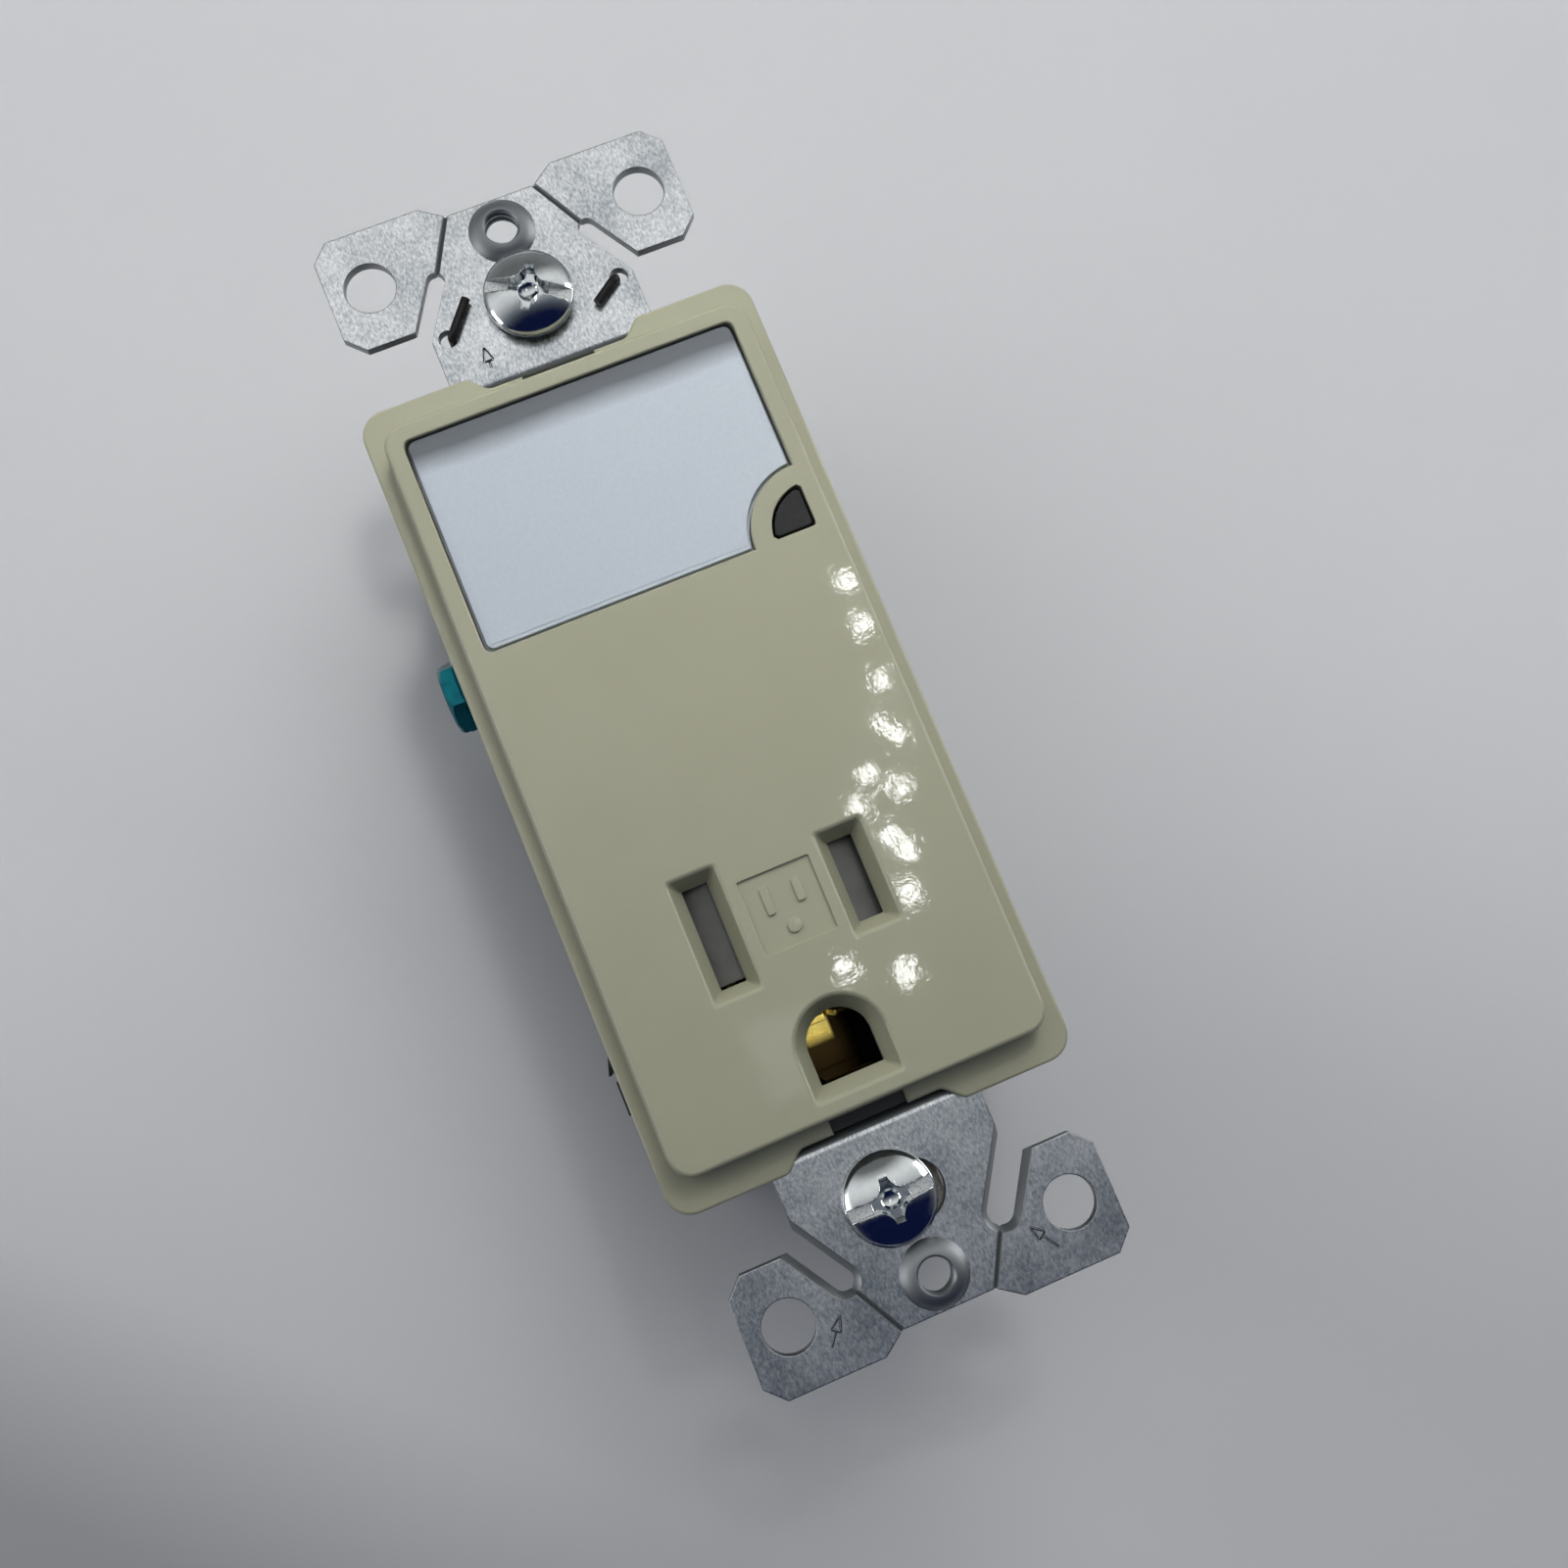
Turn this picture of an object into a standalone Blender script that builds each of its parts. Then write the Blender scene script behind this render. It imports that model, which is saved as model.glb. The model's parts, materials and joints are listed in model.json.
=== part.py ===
"""Decorator wiring device: a tamper-resistant receptacle below an LED night light, on a wrap-round strap.

The device lies on its back: +X is right, +Y runs to the top end, +Z comes out of the face.
The origin is the centre of the strap's back run. Sizes are in millimetres and MM turns them into metres.
"""

import math

import bmesh
import bpy
from mathutils import Matrix, Vector

MM = 0.001

# Clearances
GAP = 0.2  # between pieces that touch on the real device
FIT = 0.25  # round a pin, a blade or a shank in its hole
OVER = 0.6  # how far a cutter runs past what it cuts
EMBED = 0.4  # how far fused pieces run into each other

# Round shapes
HOLE_SIDES = 24
SCREW_STEPS = 20
ARC_STEPS = 5

# Mounting strap: each OUT or IN is a distance along Y from the box screws, outwards or inwards
STRAP_T = 1.0
STRAP_TOP = 28.0
BEND_R = 0.6
NECK_HALF_W = 9.4
NECK_SHOULDER_IN = 0.67
TAB_HALF_W = 4.15
TAB_OUT = 9.83
EAR_HALF_W = 16.4
EAR_INNER_OUT = 0.63
EAR_OUTER_OUT = 11.28
EAR_CHAMFER = 1.6
EAR_ROOT_IN_X = 6.2
EAR_NECK_X = 10.4
EAR_HOLE_X = 12.6
EAR_HOLE_OUT = 5.93
EAR_HOLE_D = 4.5
NOTCH_END_X = 7.1
NOTCH_END_OUT = 4.43
TOP_NOTCH_W = 1.6
LEFT_STRIPPER_W = 1.8
RIGHT_STRIPPER_W = 2.3
STRIPPER_BEVEL = 0.55
STRIPPER_LAND = 0.15
SCORE_W = 0.5
PLATE_HOLE_OUT = 6.74
PLATE_HOLE_D = 3.1
HEAD_TO_COLLAR = 0.14
COLLAR_SLOPE = 0.85
COLLAR_H = 0.9
MOUNT_SLOT_L = 7.35
MOUNT_SLOT_W = 5.3
CLIP_HOLE_X = 8.0
CLIP_HOLE_IN = 0.92
CLIP_HOLE_D = 1.5

# Front cover
FACE_HALF_W = 16.5
FACE_HALF_L = 33.4
MOUNT_FROM_FACE = 8.27
FLANGE_SIDE = 1.5
FLANGE_END = 3.0
FLANGE_R = 2.3
FLANGE_RISE = 1.0
FACE_R = 2.0
FACE_RISE = 4.2
FACE_T = 2.4
FACE_EDGE_R = 0.8
WINDOW_FRAME = 1.65
CAVITY_LEDGE = 0.15
END_NOTCH_OUT_X = 8.2
END_NOTCH_IN_X = 6.0
END_NOTCH_DEPTH = 1.5
END_GAP_HALF_W = 3.3
TOP_GAP_DEPTH = 0.3

# Night-light window, lens and light sensor
WINDOW_L = 19.45
WINDOW_R = 0.7
WEB_R = 5.7
SENSOR_R = 3.9
SENSOR_MARGIN = 0.1
SENSOR_RECESS = 0.15
SENSOR_PIPE_L = 9.0
LENS_RECESS = 0.4
LENS_T = 2.0
LENS_GAP = 0.25

# Receptacle openings
BLADE_X = 6.35
BLADE_FROM_END = 17.2
SLOT_W = 2.25
NEUTRAL_SLOT_L = 8.7
HOT_SLOT_L = 7.1
FLARE = 1.15
FLARE_DEPTH = 2.0
PIN_HALF_W = 2.77
PIN_L = 5.55
PIN_BELOW_BLADES = 9.05
PIN_FLARE = 1.3
MARK_HALF_W = 3.15
MARK_HALF_L = 3.2
MARK_DEPTH = 0.3

# Rear housing
HOUSING_SIDE = 0.1
HOUSING_END = 1.4
HOUSING_WALL = 1.6
HOUSING_R = 1.5
POST_R = 2.5
BOSS_R = 2.0
POST_TOP = 19.0
POST_FROM_SIDE = 2.8
POST_FROM_END = 3.3
POST_FROM_BOARD = 3.2
RIB_REACH = 1.3
RIB_T = 1.3
RIB_TOP_DROP = 0.4
RIB_FOOT = 6.0
FIN_T = 0.2
FIN_REACH = 0.62
FIN_ROOT_L = 0.85
FIN_L = 1.65
FIN_H = 5.0
PAD_REACH = 0.24
PAD_L = 2.95
PAD_FROM_RIB = 1.2
PAD_H = 4.0

# Assembly screws, from the back of the housing into the cover's bosses
ASSEMBLY_SHANK_R = 1.1
ASSEMBLY_HEAD_R = 2.0
ASSEMBLY_HEAD_H = 1.4
ASSEMBLY_SINK = 0.4
ASSEMBLY_L = 23.0

# Wire terminals
TERMINAL_BELOW_BLADES = 1.0
TERMINAL_Z = 13.0
TERMINAL_TRAVEL = 2.0
TERMINAL_HEAD_R = 3.9
TERMINAL_HEAD_TOP_R = 3.3
TERMINAL_HEAD_RIM = 1.1
TERMINAL_HEAD_H = 1.9
TERMINAL_SHANK_R = 2.0
TERMINAL_REACH = 1.5
CLAMP_SIDE = 8.4
CLAMP_R = 1.0
CLAMP_T = 1.2
WIRE_HOLE_R = 1.3
WIRE_HOLE_STEP = 2.9
SLOT_CUT_W = 1.1
SLOT_CUT_DEPTH = 0.9

# Contacts
BRASS_T = 0.8
CONTACT_HALF_L = 4.2
LEAF_GAP = 0.9
LEAF_FLARE = 0.5
LEAF_FLARE_H = 1.5
LEAF_DROP = 0.4
PEDESTAL_TOP = 7.4
GROUND_HALF_W = 2.6
GROUND_BASE_Z = 12.2
GROUND_LEAF_T = 0.6
GROUND_SLIT_W = 0.8
GROUND_SLIT_X = 0.3
RIVET_R = 1.5
RIVET_HEAD_R = 2.3
RIVET_HEAD_H = 0.7
RIVET_RIM = 0.3
RIVET_Z = 8.0

# Ground terminal
GROUND_FROM_POST = 8.3
GROUND_Z = 13.0
GROUND_TAB_HALF_L = 5.2
GROUND_TAB_RISE = 5.0
GROUND_HEX = 6.35
GROUND_HEX_H = 1.7
GROUND_HEX_TURN = -8.0
GROUND_WASHER_R = 4.6
GROUND_WASHER_RIM = 0.55
GROUND_WASHER_H = 0.9
GROUND_SHANK_R = 2.2
GROUND_SHANK_L = 5.5

# Tamper-resistant shutters
SHUTTER_T = 1.6
SHUTTER_W = 4.3
SHUTTER_BELOW = 4.1
SHUTTER_ABOVE = 5.6
SHUTTER_RAMP = 1.0
SHUTTER_LIP = 1.3
FRAME_T = 1.4
RAIL_T = 1.0
SPRING_COIL_R = 0.5
SPRING_WIRE_R = 0.12
SPRING_TURNS = 6
SPRING_STEPS = 8

# Night-light electronics
BOARD_T = 1.6
BOARD_TOP = 18.8
BOARD_BELOW_WINDOW = 3.1
LIGHT_WALL = 1.0
LED_W = 3.5
LED_L = 2.8
LED_H = 1.9
LED_EDGE = 0.24
LED_FROM_WALL = 6.4
PHOTO_R = 1.5
PHOTO_TIP_R = 1.05
PHOTO_TIP_H = 0.45
CAPACITOR_W = 12.0
CAPACITOR_L = 6.0
CAPACITOR_H = 8.5
CAPACITOR_EDGE = 0.75
CAPACITOR_ABOVE_LEDS = 3.0
RECTIFIER_W = 5.0
RECTIFIER_L = 6.0
RECTIFIER_H = 2.4
RECTIFIER_EDGE = 0.3
RECTIFIER_GAP = 1.5
RESISTOR_R = 1.4
RESISTOR_EDGE = 0.35
RESISTOR_L = 8.0
RESISTOR_FROM_EDGE = 3.8
LEDGE_L = 2.4
LEAD_R = 0.8
LEAD_FROM_WALL = 6.2
LEAD_RUN_Z = 12.0
LEAD_FROM_EDGE = 1.8
LEAD_SAG = 0.3  # share of the rise at half its length

# Mounting screws and self-grounding clip
MOUNT_SHANK_R = 1.75
MOUNT_HEAD_R = 3.95
MOUNT_HEAD_RIM = 0.7
MOUNT_HEAD_DOME = 1.4
DOME_STEPS = 4
MOUNT_SCREW_L = 21.0
MOUNT_TIP = 1.0
RETAINER_HALF_W = 4.6
RETAINER_HALF_L = 3.9
RETAINER_R = 1.2
RETAINER_T = 0.8
TOP_SCREW_LIFT = 0.5
LOWER_SCREW_SHIFT_X = -1.05
LOWER_SCREW_SHIFT_Y = 0.3
TOP_SLOT_ANGLE = -27.0
RECESS_SLOT_W = 1.2
RECESS_CROSS_W = 1.0
RECESS_CROSS_L = 4.4
RECESS_DEPTH = 1.3
CLIP_R = 0.4
CLIP_END_X = 5.25
CLIP_LEFT_OUT = 1.73
CLIP_RIGHT_IN = 2.77

# Places worked out from the sizes above, first across and along the device, then up
FLANGE_HALF_W = FACE_HALF_W + FLANGE_SIDE
FLANGE_HALF_L = FACE_HALF_L + FLANGE_END
WINDOW_HALF_W = FACE_HALF_W - WINDOW_FRAME
WINDOW_HIGH_Y = FACE_HALF_L - WINDOW_FRAME
WINDOW_LOW_Y = WINDOW_HIGH_Y - WINDOW_L
CAVITY_HALF_W = WINDOW_HALF_W + CAVITY_LEDGE
CAVITY_HALF_L = WINDOW_HIGH_Y + CAVITY_LEDGE
HOUSING_HALF_W = FACE_HALF_W + HOUSING_SIDE
HOUSING_HALF_L = FACE_HALF_L + HOUSING_END
HOUSING_IN_W = HOUSING_HALF_W - HOUSING_WALL
HOUSING_IN_L = HOUSING_HALF_L - HOUSING_WALL
LEG_INNER_Y = HOUSING_HALF_L + GAP
MOUNT_Y = FACE_HALF_L + MOUNT_FROM_FACE  # box screws stand 83.34 apart
PLATE_Y = MOUNT_Y + PLATE_HOLE_OUT  # cover-plate screws stand 96.82 apart
NECK_SHOULDER_Y = MOUNT_Y - NECK_SHOULDER_IN
TAB_OUTER_Y = MOUNT_Y + TAB_OUT
EAR_INNER_Y = MOUNT_Y + EAR_INNER_OUT
EAR_OUTER_Y = MOUNT_Y + EAR_OUTER_OUT
EAR_HOLE_Y = MOUNT_Y + EAR_HOLE_OUT
NOTCH_END_Y = MOUNT_Y + NOTCH_END_OUT
COLLAR_R = PLATE_HOLE_OUT + LOWER_SCREW_SHIFT_Y - MOUNT_HEAD_R - HEAD_TO_COLLAR
CLIP_HOLE_Y = MOUNT_Y - CLIP_HOLE_IN
BLADE_Y = BLADE_FROM_END - FACE_HALF_L
PIN_TOP_Y = BLADE_Y - PIN_BELOW_BLADES
PIN_LOW_Y = PIN_TOP_Y - PIN_L
SHUTTER_LOW_Y = BLADE_Y - SHUTTER_BELOW
SHUTTER_HIGH_Y = BLADE_Y + SHUTTER_ABOVE
TERMINAL_Y = BLADE_Y - TERMINAL_BELOW_BLADES
TERMINAL_HEAD_X = HOUSING_HALF_W + TERMINAL_HEAD_H
BOARD_LOW_Y = WINDOW_LOW_Y - BOARD_BELOW_WINDOW
LED_Y = (WINDOW_LOW_Y + WINDOW_HIGH_Y) / 2
LED_STEP = HOUSING_IN_W - LED_FROM_WALL
SUPPLY_Y = LED_Y + CAPACITOR_ABOVE_LEDS
RECTIFIER_X = CAPACITOR_W / 2 + RECTIFIER_GAP + RECTIFIER_W / 2
RESISTOR_Y = BOARD_LOW_Y + RESISTOR_FROM_EDGE
LEAD_X = HOUSING_IN_W - LEAD_FROM_WALL
LEAD_END_Y = BOARD_LOW_Y + LEAD_FROM_EDGE
POST_X = HOUSING_IN_W - POST_FROM_SIDE
POST_LOW_Y = POST_FROM_END - HOUSING_IN_L
POST_HIGH_Y = BOARD_LOW_Y - POST_FROM_BOARD
GROUND_Y = POST_HIGH_Y + GROUND_FROM_POST
GROUND_HEX_R = GROUND_HEX / math.sqrt(3)
GROUND_TAB_X = HOUSING_HALF_W + GAP + STRAP_T
RIB_OUT_X = HOUSING_HALF_W + RIB_REACH
FLANGE_LOW = STRAP_TOP + GAP
FLANGE_TOP = STRAP_TOP + FLANGE_RISE
FACE_TOP = STRAP_TOP + FACE_RISE
FACE_INNER = FACE_TOP - FACE_T
LENS_TOP = FACE_TOP - LENS_RECESS
LENS_LOW = LENS_TOP - LENS_T
HOUSING_BACK = STRAP_T + GAP
HOUSING_FLOOR = HOUSING_BACK + HOUSING_WALL
BOARD_LOW = BOARD_TOP - BOARD_T
CLAMP_OUT_X = TERMINAL_HEAD_X - TERMINAL_HEAD_H - GAP
CLAMP_IN_X = CLAMP_OUT_X - CLAMP_T
TERMINAL_OUT_X = CLAMP_IN_X - TERMINAL_TRAVEL - GAP
TERMINAL_IN_X = TERMINAL_OUT_X - BRASS_T
CLAMP_HALF = CLAMP_SIDE / 2
BAY_HALF = CLAMP_HALF + FIT
CONTACT_BASE = PEDESTAL_TOP + GAP
SHUTTER_TOP = FACE_INNER - GAP
SHUTTER_LOW = SHUTTER_TOP - SHUTTER_T
FRAME_TOP = SHUTTER_LOW - GAP
FRAME_LOW = FRAME_TOP - FRAME_T
LEAF_TOP = FRAME_LOW - LEAF_DROP
SENSOR_X = WINDOW_HALF_W
SENSOR_Y = WINDOW_LOW_Y

MATERIALS = {
    "almond_plastic": ((0.47, 0.46, 0.36), 0.28, 0.0),
    "frosted_lens": ((0.74, 0.76, 0.80), 0.35, 0.0),
    "smoked_plastic": ((0.035, 0.035, 0.035), 0.18, 0.0),
    "zinc_steel": ((0.55, 0.56, 0.58), 0.38, 1.0),
    "black_plastic": ((0.012, 0.012, 0.013), 0.45, 0.0),
    "bright_zinc": ((0.62, 0.64, 0.68), 0.22, 1.0),
    "fibre_card": ((0.42, 0.31, 0.18), 0.8, 0.0),
    "blued_wire": ((0.03, 0.03, 0.032), 0.35, 1.0),
    "green_zinc": ((0.01, 0.20, 0.20), 0.3, 0.6),
    "nickel_steel": ((0.60, 0.58, 0.53), 0.3, 1.0),
    "brass": ((0.62, 0.42, 0.13), 0.3, 1.0),
    "grey_plastic": ((0.085, 0.085, 0.09), 0.4, 0.0),
    "white_plastic": ((0.80, 0.80, 0.78), 0.5, 0.0),
    "spring_steel": ((0.45, 0.45, 0.46), 0.3, 1.0),
    "circuit_laminate": ((0.02, 0.16, 0.06), 0.45, 0.0),
    "led_package": ((0.80, 0.74, 0.40), 0.3, 0.0),
    "film_capacitor": ((0.35, 0.10, 0.03), 0.35, 0.0),
    "black_epoxy": ((0.02, 0.02, 0.02), 0.5, 0.0),
    "resistor_body": ((0.20, 0.32, 0.42), 0.5, 0.0),
    "white_insulation": ((0.72, 0.72, 0.70), 0.5, 0.0),
    "black_insulation": ((0.02, 0.02, 0.02), 0.5, 0.0),
}


def clear_scene():
    for obj in list(bpy.data.objects):
        bpy.data.objects.remove(obj, do_unlink=True)


def new_collection(name):
    collection = bpy.data.collections.new(name)
    bpy.context.scene.collection.children.link(collection)
    return collection


clear_scene()
PARTS = new_collection("night_light_outlet")
CUTTERS = new_collection("cutters")


def add_object(name, mesh):
    obj = bpy.data.objects.new(name, mesh)
    PARTS.objects.link(obj)
    return obj


def as_helper(obj):
    """Moves an operand of a Boolean to the cutters."""
    PARTS.objects.unlink(obj)
    CUTTERS.objects.link(obj)
    obj.hide_render = True
    obj.display_type = "WIRE"


def finish(obj, material):
    colour, roughness, metallic = MATERIALS[material]
    made = bpy.data.materials.get(material)
    if made is None:
        made = bpy.data.materials.new(material)
        made.use_nodes = True
        shader = made.node_tree.nodes["Principled BSDF"]
        shader.inputs["Base Color"].default_value = (*colour, 1.0)
        shader.inputs["Roughness"].default_value = roughness
        shader.inputs["Metallic"].default_value = metallic
    obj.data.materials.append(made)
    return obj


def set_origin(obj, point):
    """Puts the object's origin at a point in millimetres without moving its shape."""
    place = Vector(point) * MM
    obj.data.transform(Matrix.Translation(-place))
    obj.location = place


def mesh_object(name, bm):
    bmesh.ops.recalc_face_normals(bm, faces=bm.faces)
    mesh = bpy.data.meshes.new(name)
    bm.to_mesh(mesh)
    bm.free()
    return add_object(name, mesh)


def mesh_from_curve(obj):
    """Replaces a curve object by its welded mesh in world coordinates."""
    bpy.context.view_layer.update()
    graph = bpy.context.evaluated_depsgraph_get()
    mesh = bpy.data.meshes.new_from_object(obj.evaluated_get(graph))
    mesh.transform(obj.matrix_world)
    bm = bmesh.new()
    bm.from_mesh(mesh)
    bmesh.ops.remove_doubles(bm, verts=bm.verts, dist=1e-7)
    name = obj.name
    bpy.data.objects.remove(obj, do_unlink=True)
    bpy.data.meshes.remove(mesh)
    return mesh_object(name, bm)


# Where a plate's two outline axes and its thickness point, for each direction of its thickness
PLATE_AXES = {
    "X": Matrix(((0, 0, 1, 0), (1, 0, 0, 0), (0, 1, 0, 0), (0, 0, 0, 1))),
    "Y": Matrix(((1, 0, 0, 0), (0, 0, -1, 0), (0, 1, 0, 0), (0, 0, 0, 1))),
    "Z": Matrix.Identity(4),
}
PLATE_SIDE = {"X": 1, "Y": -1, "Z": 1}


def plate(name, outlines, low, high, axis="Z"):
    """A flat outline, with any holes as further outlines, between two levels on an axis.

    Outlines are (y, z) for axis X, (x, z) for axis Y and (x, y) for axis Z.
    """
    curve = bpy.data.curves.new(name, "CURVE")
    curve.dimensions = "2D"
    curve.fill_mode = "BOTH"
    curve.extrude = (high - low) / 2 * MM
    for outline in outlines:
        spline = curve.splines.new("POLY")
        spline.points.add(len(outline) - 1)
        for point, (u, v) in zip(spline.points, outline):
            point.co = (u * MM, v * MM, 0, 1)
        spline.use_cyclic_u = True
    obj = add_object(name, curve)
    middle = PLATE_SIDE[axis] * (low + high) / 2 * MM
    obj.matrix_world = PLATE_AXES[axis] @ Matrix.Translation((0, 0, middle))
    return mesh_from_curve(obj)


def block(name, x, y, z):
    """A box between pairs of limits."""
    size = [(high - low) * MM for low, high in (x, y, z)]
    centre = [(high + low) / 2 * MM for low, high in (x, y, z)]
    bm = bmesh.new()
    bmesh.ops.create_cube(bm, size=1.0, matrix=Matrix.Translation(centre) @ Matrix.Diagonal((*size, 1)))
    return mesh_object(name, bm)


def rod(name, axis, centre, radius, low, high, end_radius=None, sides=HOLE_SIDES):
    """A cylinder, or a cone with an end radius, along an axis; centre is on the other two axes."""
    turn = {"X": Matrix.Rotation(math.pi / 2, 4, "Y"), "Y": Matrix.Rotation(-math.pi / 2, 4, "X")}
    middle = (low + high) / 2
    place = {"X": (middle, *centre), "Y": (centre[0], middle, centre[1]), "Z": (*centre, middle)}[axis]
    matrix = Matrix.Translation(Vector(place) * MM) @ turn.get(axis, Matrix.Identity(4))
    bm = bmesh.new()
    bmesh.ops.create_cone(
        bm,
        cap_ends=True,
        segments=sides,
        radius1=radius * MM,
        radius2=(radius if end_radius is None else end_radius) * MM,
        depth=(high - low) * MM,
        matrix=matrix,
    )
    return mesh_object(name, bm)


def turned(name, profile, location, direction):
    """A profile of (radius, height) from top to bottom, turned about an axis that starts at a point."""
    mesh = bpy.data.meshes.new(name)
    points = [(radius * MM, 0, height * MM) for radius, height in profile]
    mesh.from_pydata(points, [(i, i + 1) for i in range(len(points) - 1)], [])
    obj = add_object(name, mesh)
    obj.location = Vector(location) * MM
    obj.rotation_euler = Vector((0, 0, 1)).rotation_difference(Vector(direction)).to_euler()
    screw = obj.modifiers.new("turn", "SCREW")
    screw.steps = screw.render_steps = SCREW_STEPS
    screw.use_merge_vertices = True
    screw.merge_threshold = 1e-6
    return obj


def tube(name, points, radius):
    curve = bpy.data.curves.new(name, "CURVE")
    curve.dimensions = "3D"
    curve.bevel_depth = radius * MM
    curve.bevel_resolution = 1
    curve.use_fill_caps = True
    spline = curve.splines.new("POLY")
    spline.points.add(len(points) - 1)
    for point, place in zip(spline.points, points):
        point.co = (*(Vector(place) * MM), 1)
    return mesh_from_curve(add_object(name, curve))


def loft(name, rings):
    """Joins (outline, height) rings of equal counts and caps both ends."""
    bm = bmesh.new()
    loops = [[bm.verts.new((x * MM, y * MM, z * MM)) for x, y in outline] for outline, z in rings]
    for lower, upper in zip(loops, loops[1:]):
        for i in range(len(lower)):
            bm.faces.new((lower[i - 1], lower[i], upper[i], upper[i - 1]))
    bm.faces.new(reversed(loops[0]))
    bm.faces.new(loops[-1])
    return mesh_object(name, bm)


def combine(obj, operation, others):
    for other in others:
        modifier = obj.modifiers.new(other.name, "BOOLEAN")
        modifier.operation = operation
        modifier.solver = "EXACT"
        modifier.object = other
        as_helper(other)
    return obj


def cut(obj, *others):
    return combine(obj, "DIFFERENCE", others)


def fuse(obj, *others):
    return combine(obj, "UNION", others)


def keep_inside(obj, *others):
    return combine(obj, "INTERSECT", others)


def bevel(obj, width, segments=2, angle=60):
    modifier = obj.modifiers.new("rounded", "BEVEL")
    modifier.width = width * MM
    modifier.segments = segments
    modifier.limit_method = "ANGLE"
    modifier.angle_limit = math.radians(angle)
    return obj


def arc(centre, radius, start, end, steps=ARC_STEPS):
    angles = [math.radians(start + (end - start) * i / steps) for i in range(steps + 1)]
    return [(centre[0] + radius * math.cos(a), centre[1] + radius * math.sin(a)) for a in angles]


def circle(centre, radius, sides=HOLE_SIDES, turn=0):
    return arc(centre, radius, turn, turn + 360 * (sides - 1) / sides, sides - 1)


def rounded_rectangle(x, y, radius, steps=ARC_STEPS):
    (x0, x1), (y0, y1) = x, y
    return (
        arc((x1 - radius, y0 + radius), radius, -90, 0, steps)
        + arc((x1 - radius, y1 - radius), radius, 0, 90, steps)
        + arc((x0 + radius, y1 - radius), radius, 90, 180, steps)
        + arc((x0 + radius, y0 + radius), radius, 180, 270, steps)
    )


def stadium(start, end, width, steps=8):
    """A slot with round ends between two centres."""
    heading = math.degrees(math.atan2(end[1] - start[1], end[0] - start[0]))
    radius = width / 2
    return arc(end, radius, heading - 90, heading + 90, steps) + arc(
        start, radius, heading + 90, heading + 270, steps
    )


def both_sides(right):
    """Closes an outline whose right half runs from its low end to its high end."""
    return right + [(-x, y) for x, y in reversed(right)]


def strip(points, thickness):
    """The outline of a bent strip whose middle line runs through the points."""
    half = thickness / 2
    left, right = [], []
    for i, point in enumerate(points):
        here = Vector(point)
        before = (here - Vector(points[i - 1])).normalized() if i else None
        after = (Vector(points[i + 1]) - here).normalized() if i + 1 < len(points) else None
        before = before or after
        after = after or before
        mitre = Vector((-(before.y + after.y), before.x + after.x)).normalized()
        reach = half / mitre.dot(Vector((-before.y, before.x)))
        left.append(tuple(here + mitre * reach))
        right.append(tuple(here - mitre * reach))
    return left + right[::-1]


def strap_plan():
    """The strap seen from the front, without its holes and notches."""
    top_right = [
        (NECK_HALF_W, NECK_SHOULDER_Y),
        (EAR_NECK_X, EAR_INNER_Y),
        (EAR_HALF_W - EAR_CHAMFER, EAR_INNER_Y),
        (EAR_HALF_W, EAR_INNER_Y + EAR_CHAMFER),
        (EAR_HALF_W, EAR_OUTER_Y - EAR_CHAMFER),
        (EAR_HALF_W - EAR_CHAMFER, EAR_OUTER_Y),
        (EAR_ROOT_IN_X, EAR_OUTER_Y),
        (TAB_HALF_W, TAB_OUTER_Y),
    ]
    low_right = [(x, -y) for x, y in reversed(top_right)]
    return both_sides(low_right + top_right)


def strap_side():
    """The strap seen from the right: two flat ends, two legs and the back run, as a closed outline."""
    outer_r = BEND_R + STRAP_T
    top_turn = LEG_INNER_Y + outer_r
    low_turn = LEG_INNER_Y - BEND_R
    inner = [
        (low_turn, STRAP_T),
        *arc((low_turn, STRAP_T + BEND_R), BEND_R, -90, 0, 4),
        *arc((top_turn, STRAP_TOP - outer_r), outer_r, 180, 90, 4),
        (EAR_OUTER_Y + OVER, STRAP_TOP),
    ]
    outer = [
        (EAR_OUTER_Y + OVER, STRAP_TOP - STRAP_T),
        *arc((top_turn, STRAP_TOP - outer_r), BEND_R, 90, 180, 4),
        *arc((low_turn, STRAP_T + BEND_R), outer_r, 0, -90, 4),
    ]
    half = inner + outer
    return half + [(-y, z) for y, z in reversed(half)]


def score_bar(name, sign_x, sign_y, level):
    """A square bar on edge along the line where an ear breaks off."""
    start = Vector((sign_x * NOTCH_END_X, sign_y * NOTCH_END_Y, level))
    end = Vector((sign_x * TAB_HALF_W, sign_y * TAB_OUTER_Y, level))
    along = (end - start).normalized()
    side = SCORE_W / math.sqrt(2)
    length = (end - start).length + 2 * SCORE_W
    matrix = (
        Matrix.Translation((start + end) / 2 * MM)
        @ Vector((1, 0, 0)).rotation_difference(along).to_matrix().to_4x4()
        @ Matrix.Rotation(math.pi / 4, 4, "X")
        @ Matrix.Diagonal((length * MM, side * MM, side * MM, 1))
    )
    bm = bmesh.new()
    bmesh.ops.create_cube(bm, size=1.0, matrix=matrix)
    return mesh_object(name, bm)


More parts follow.
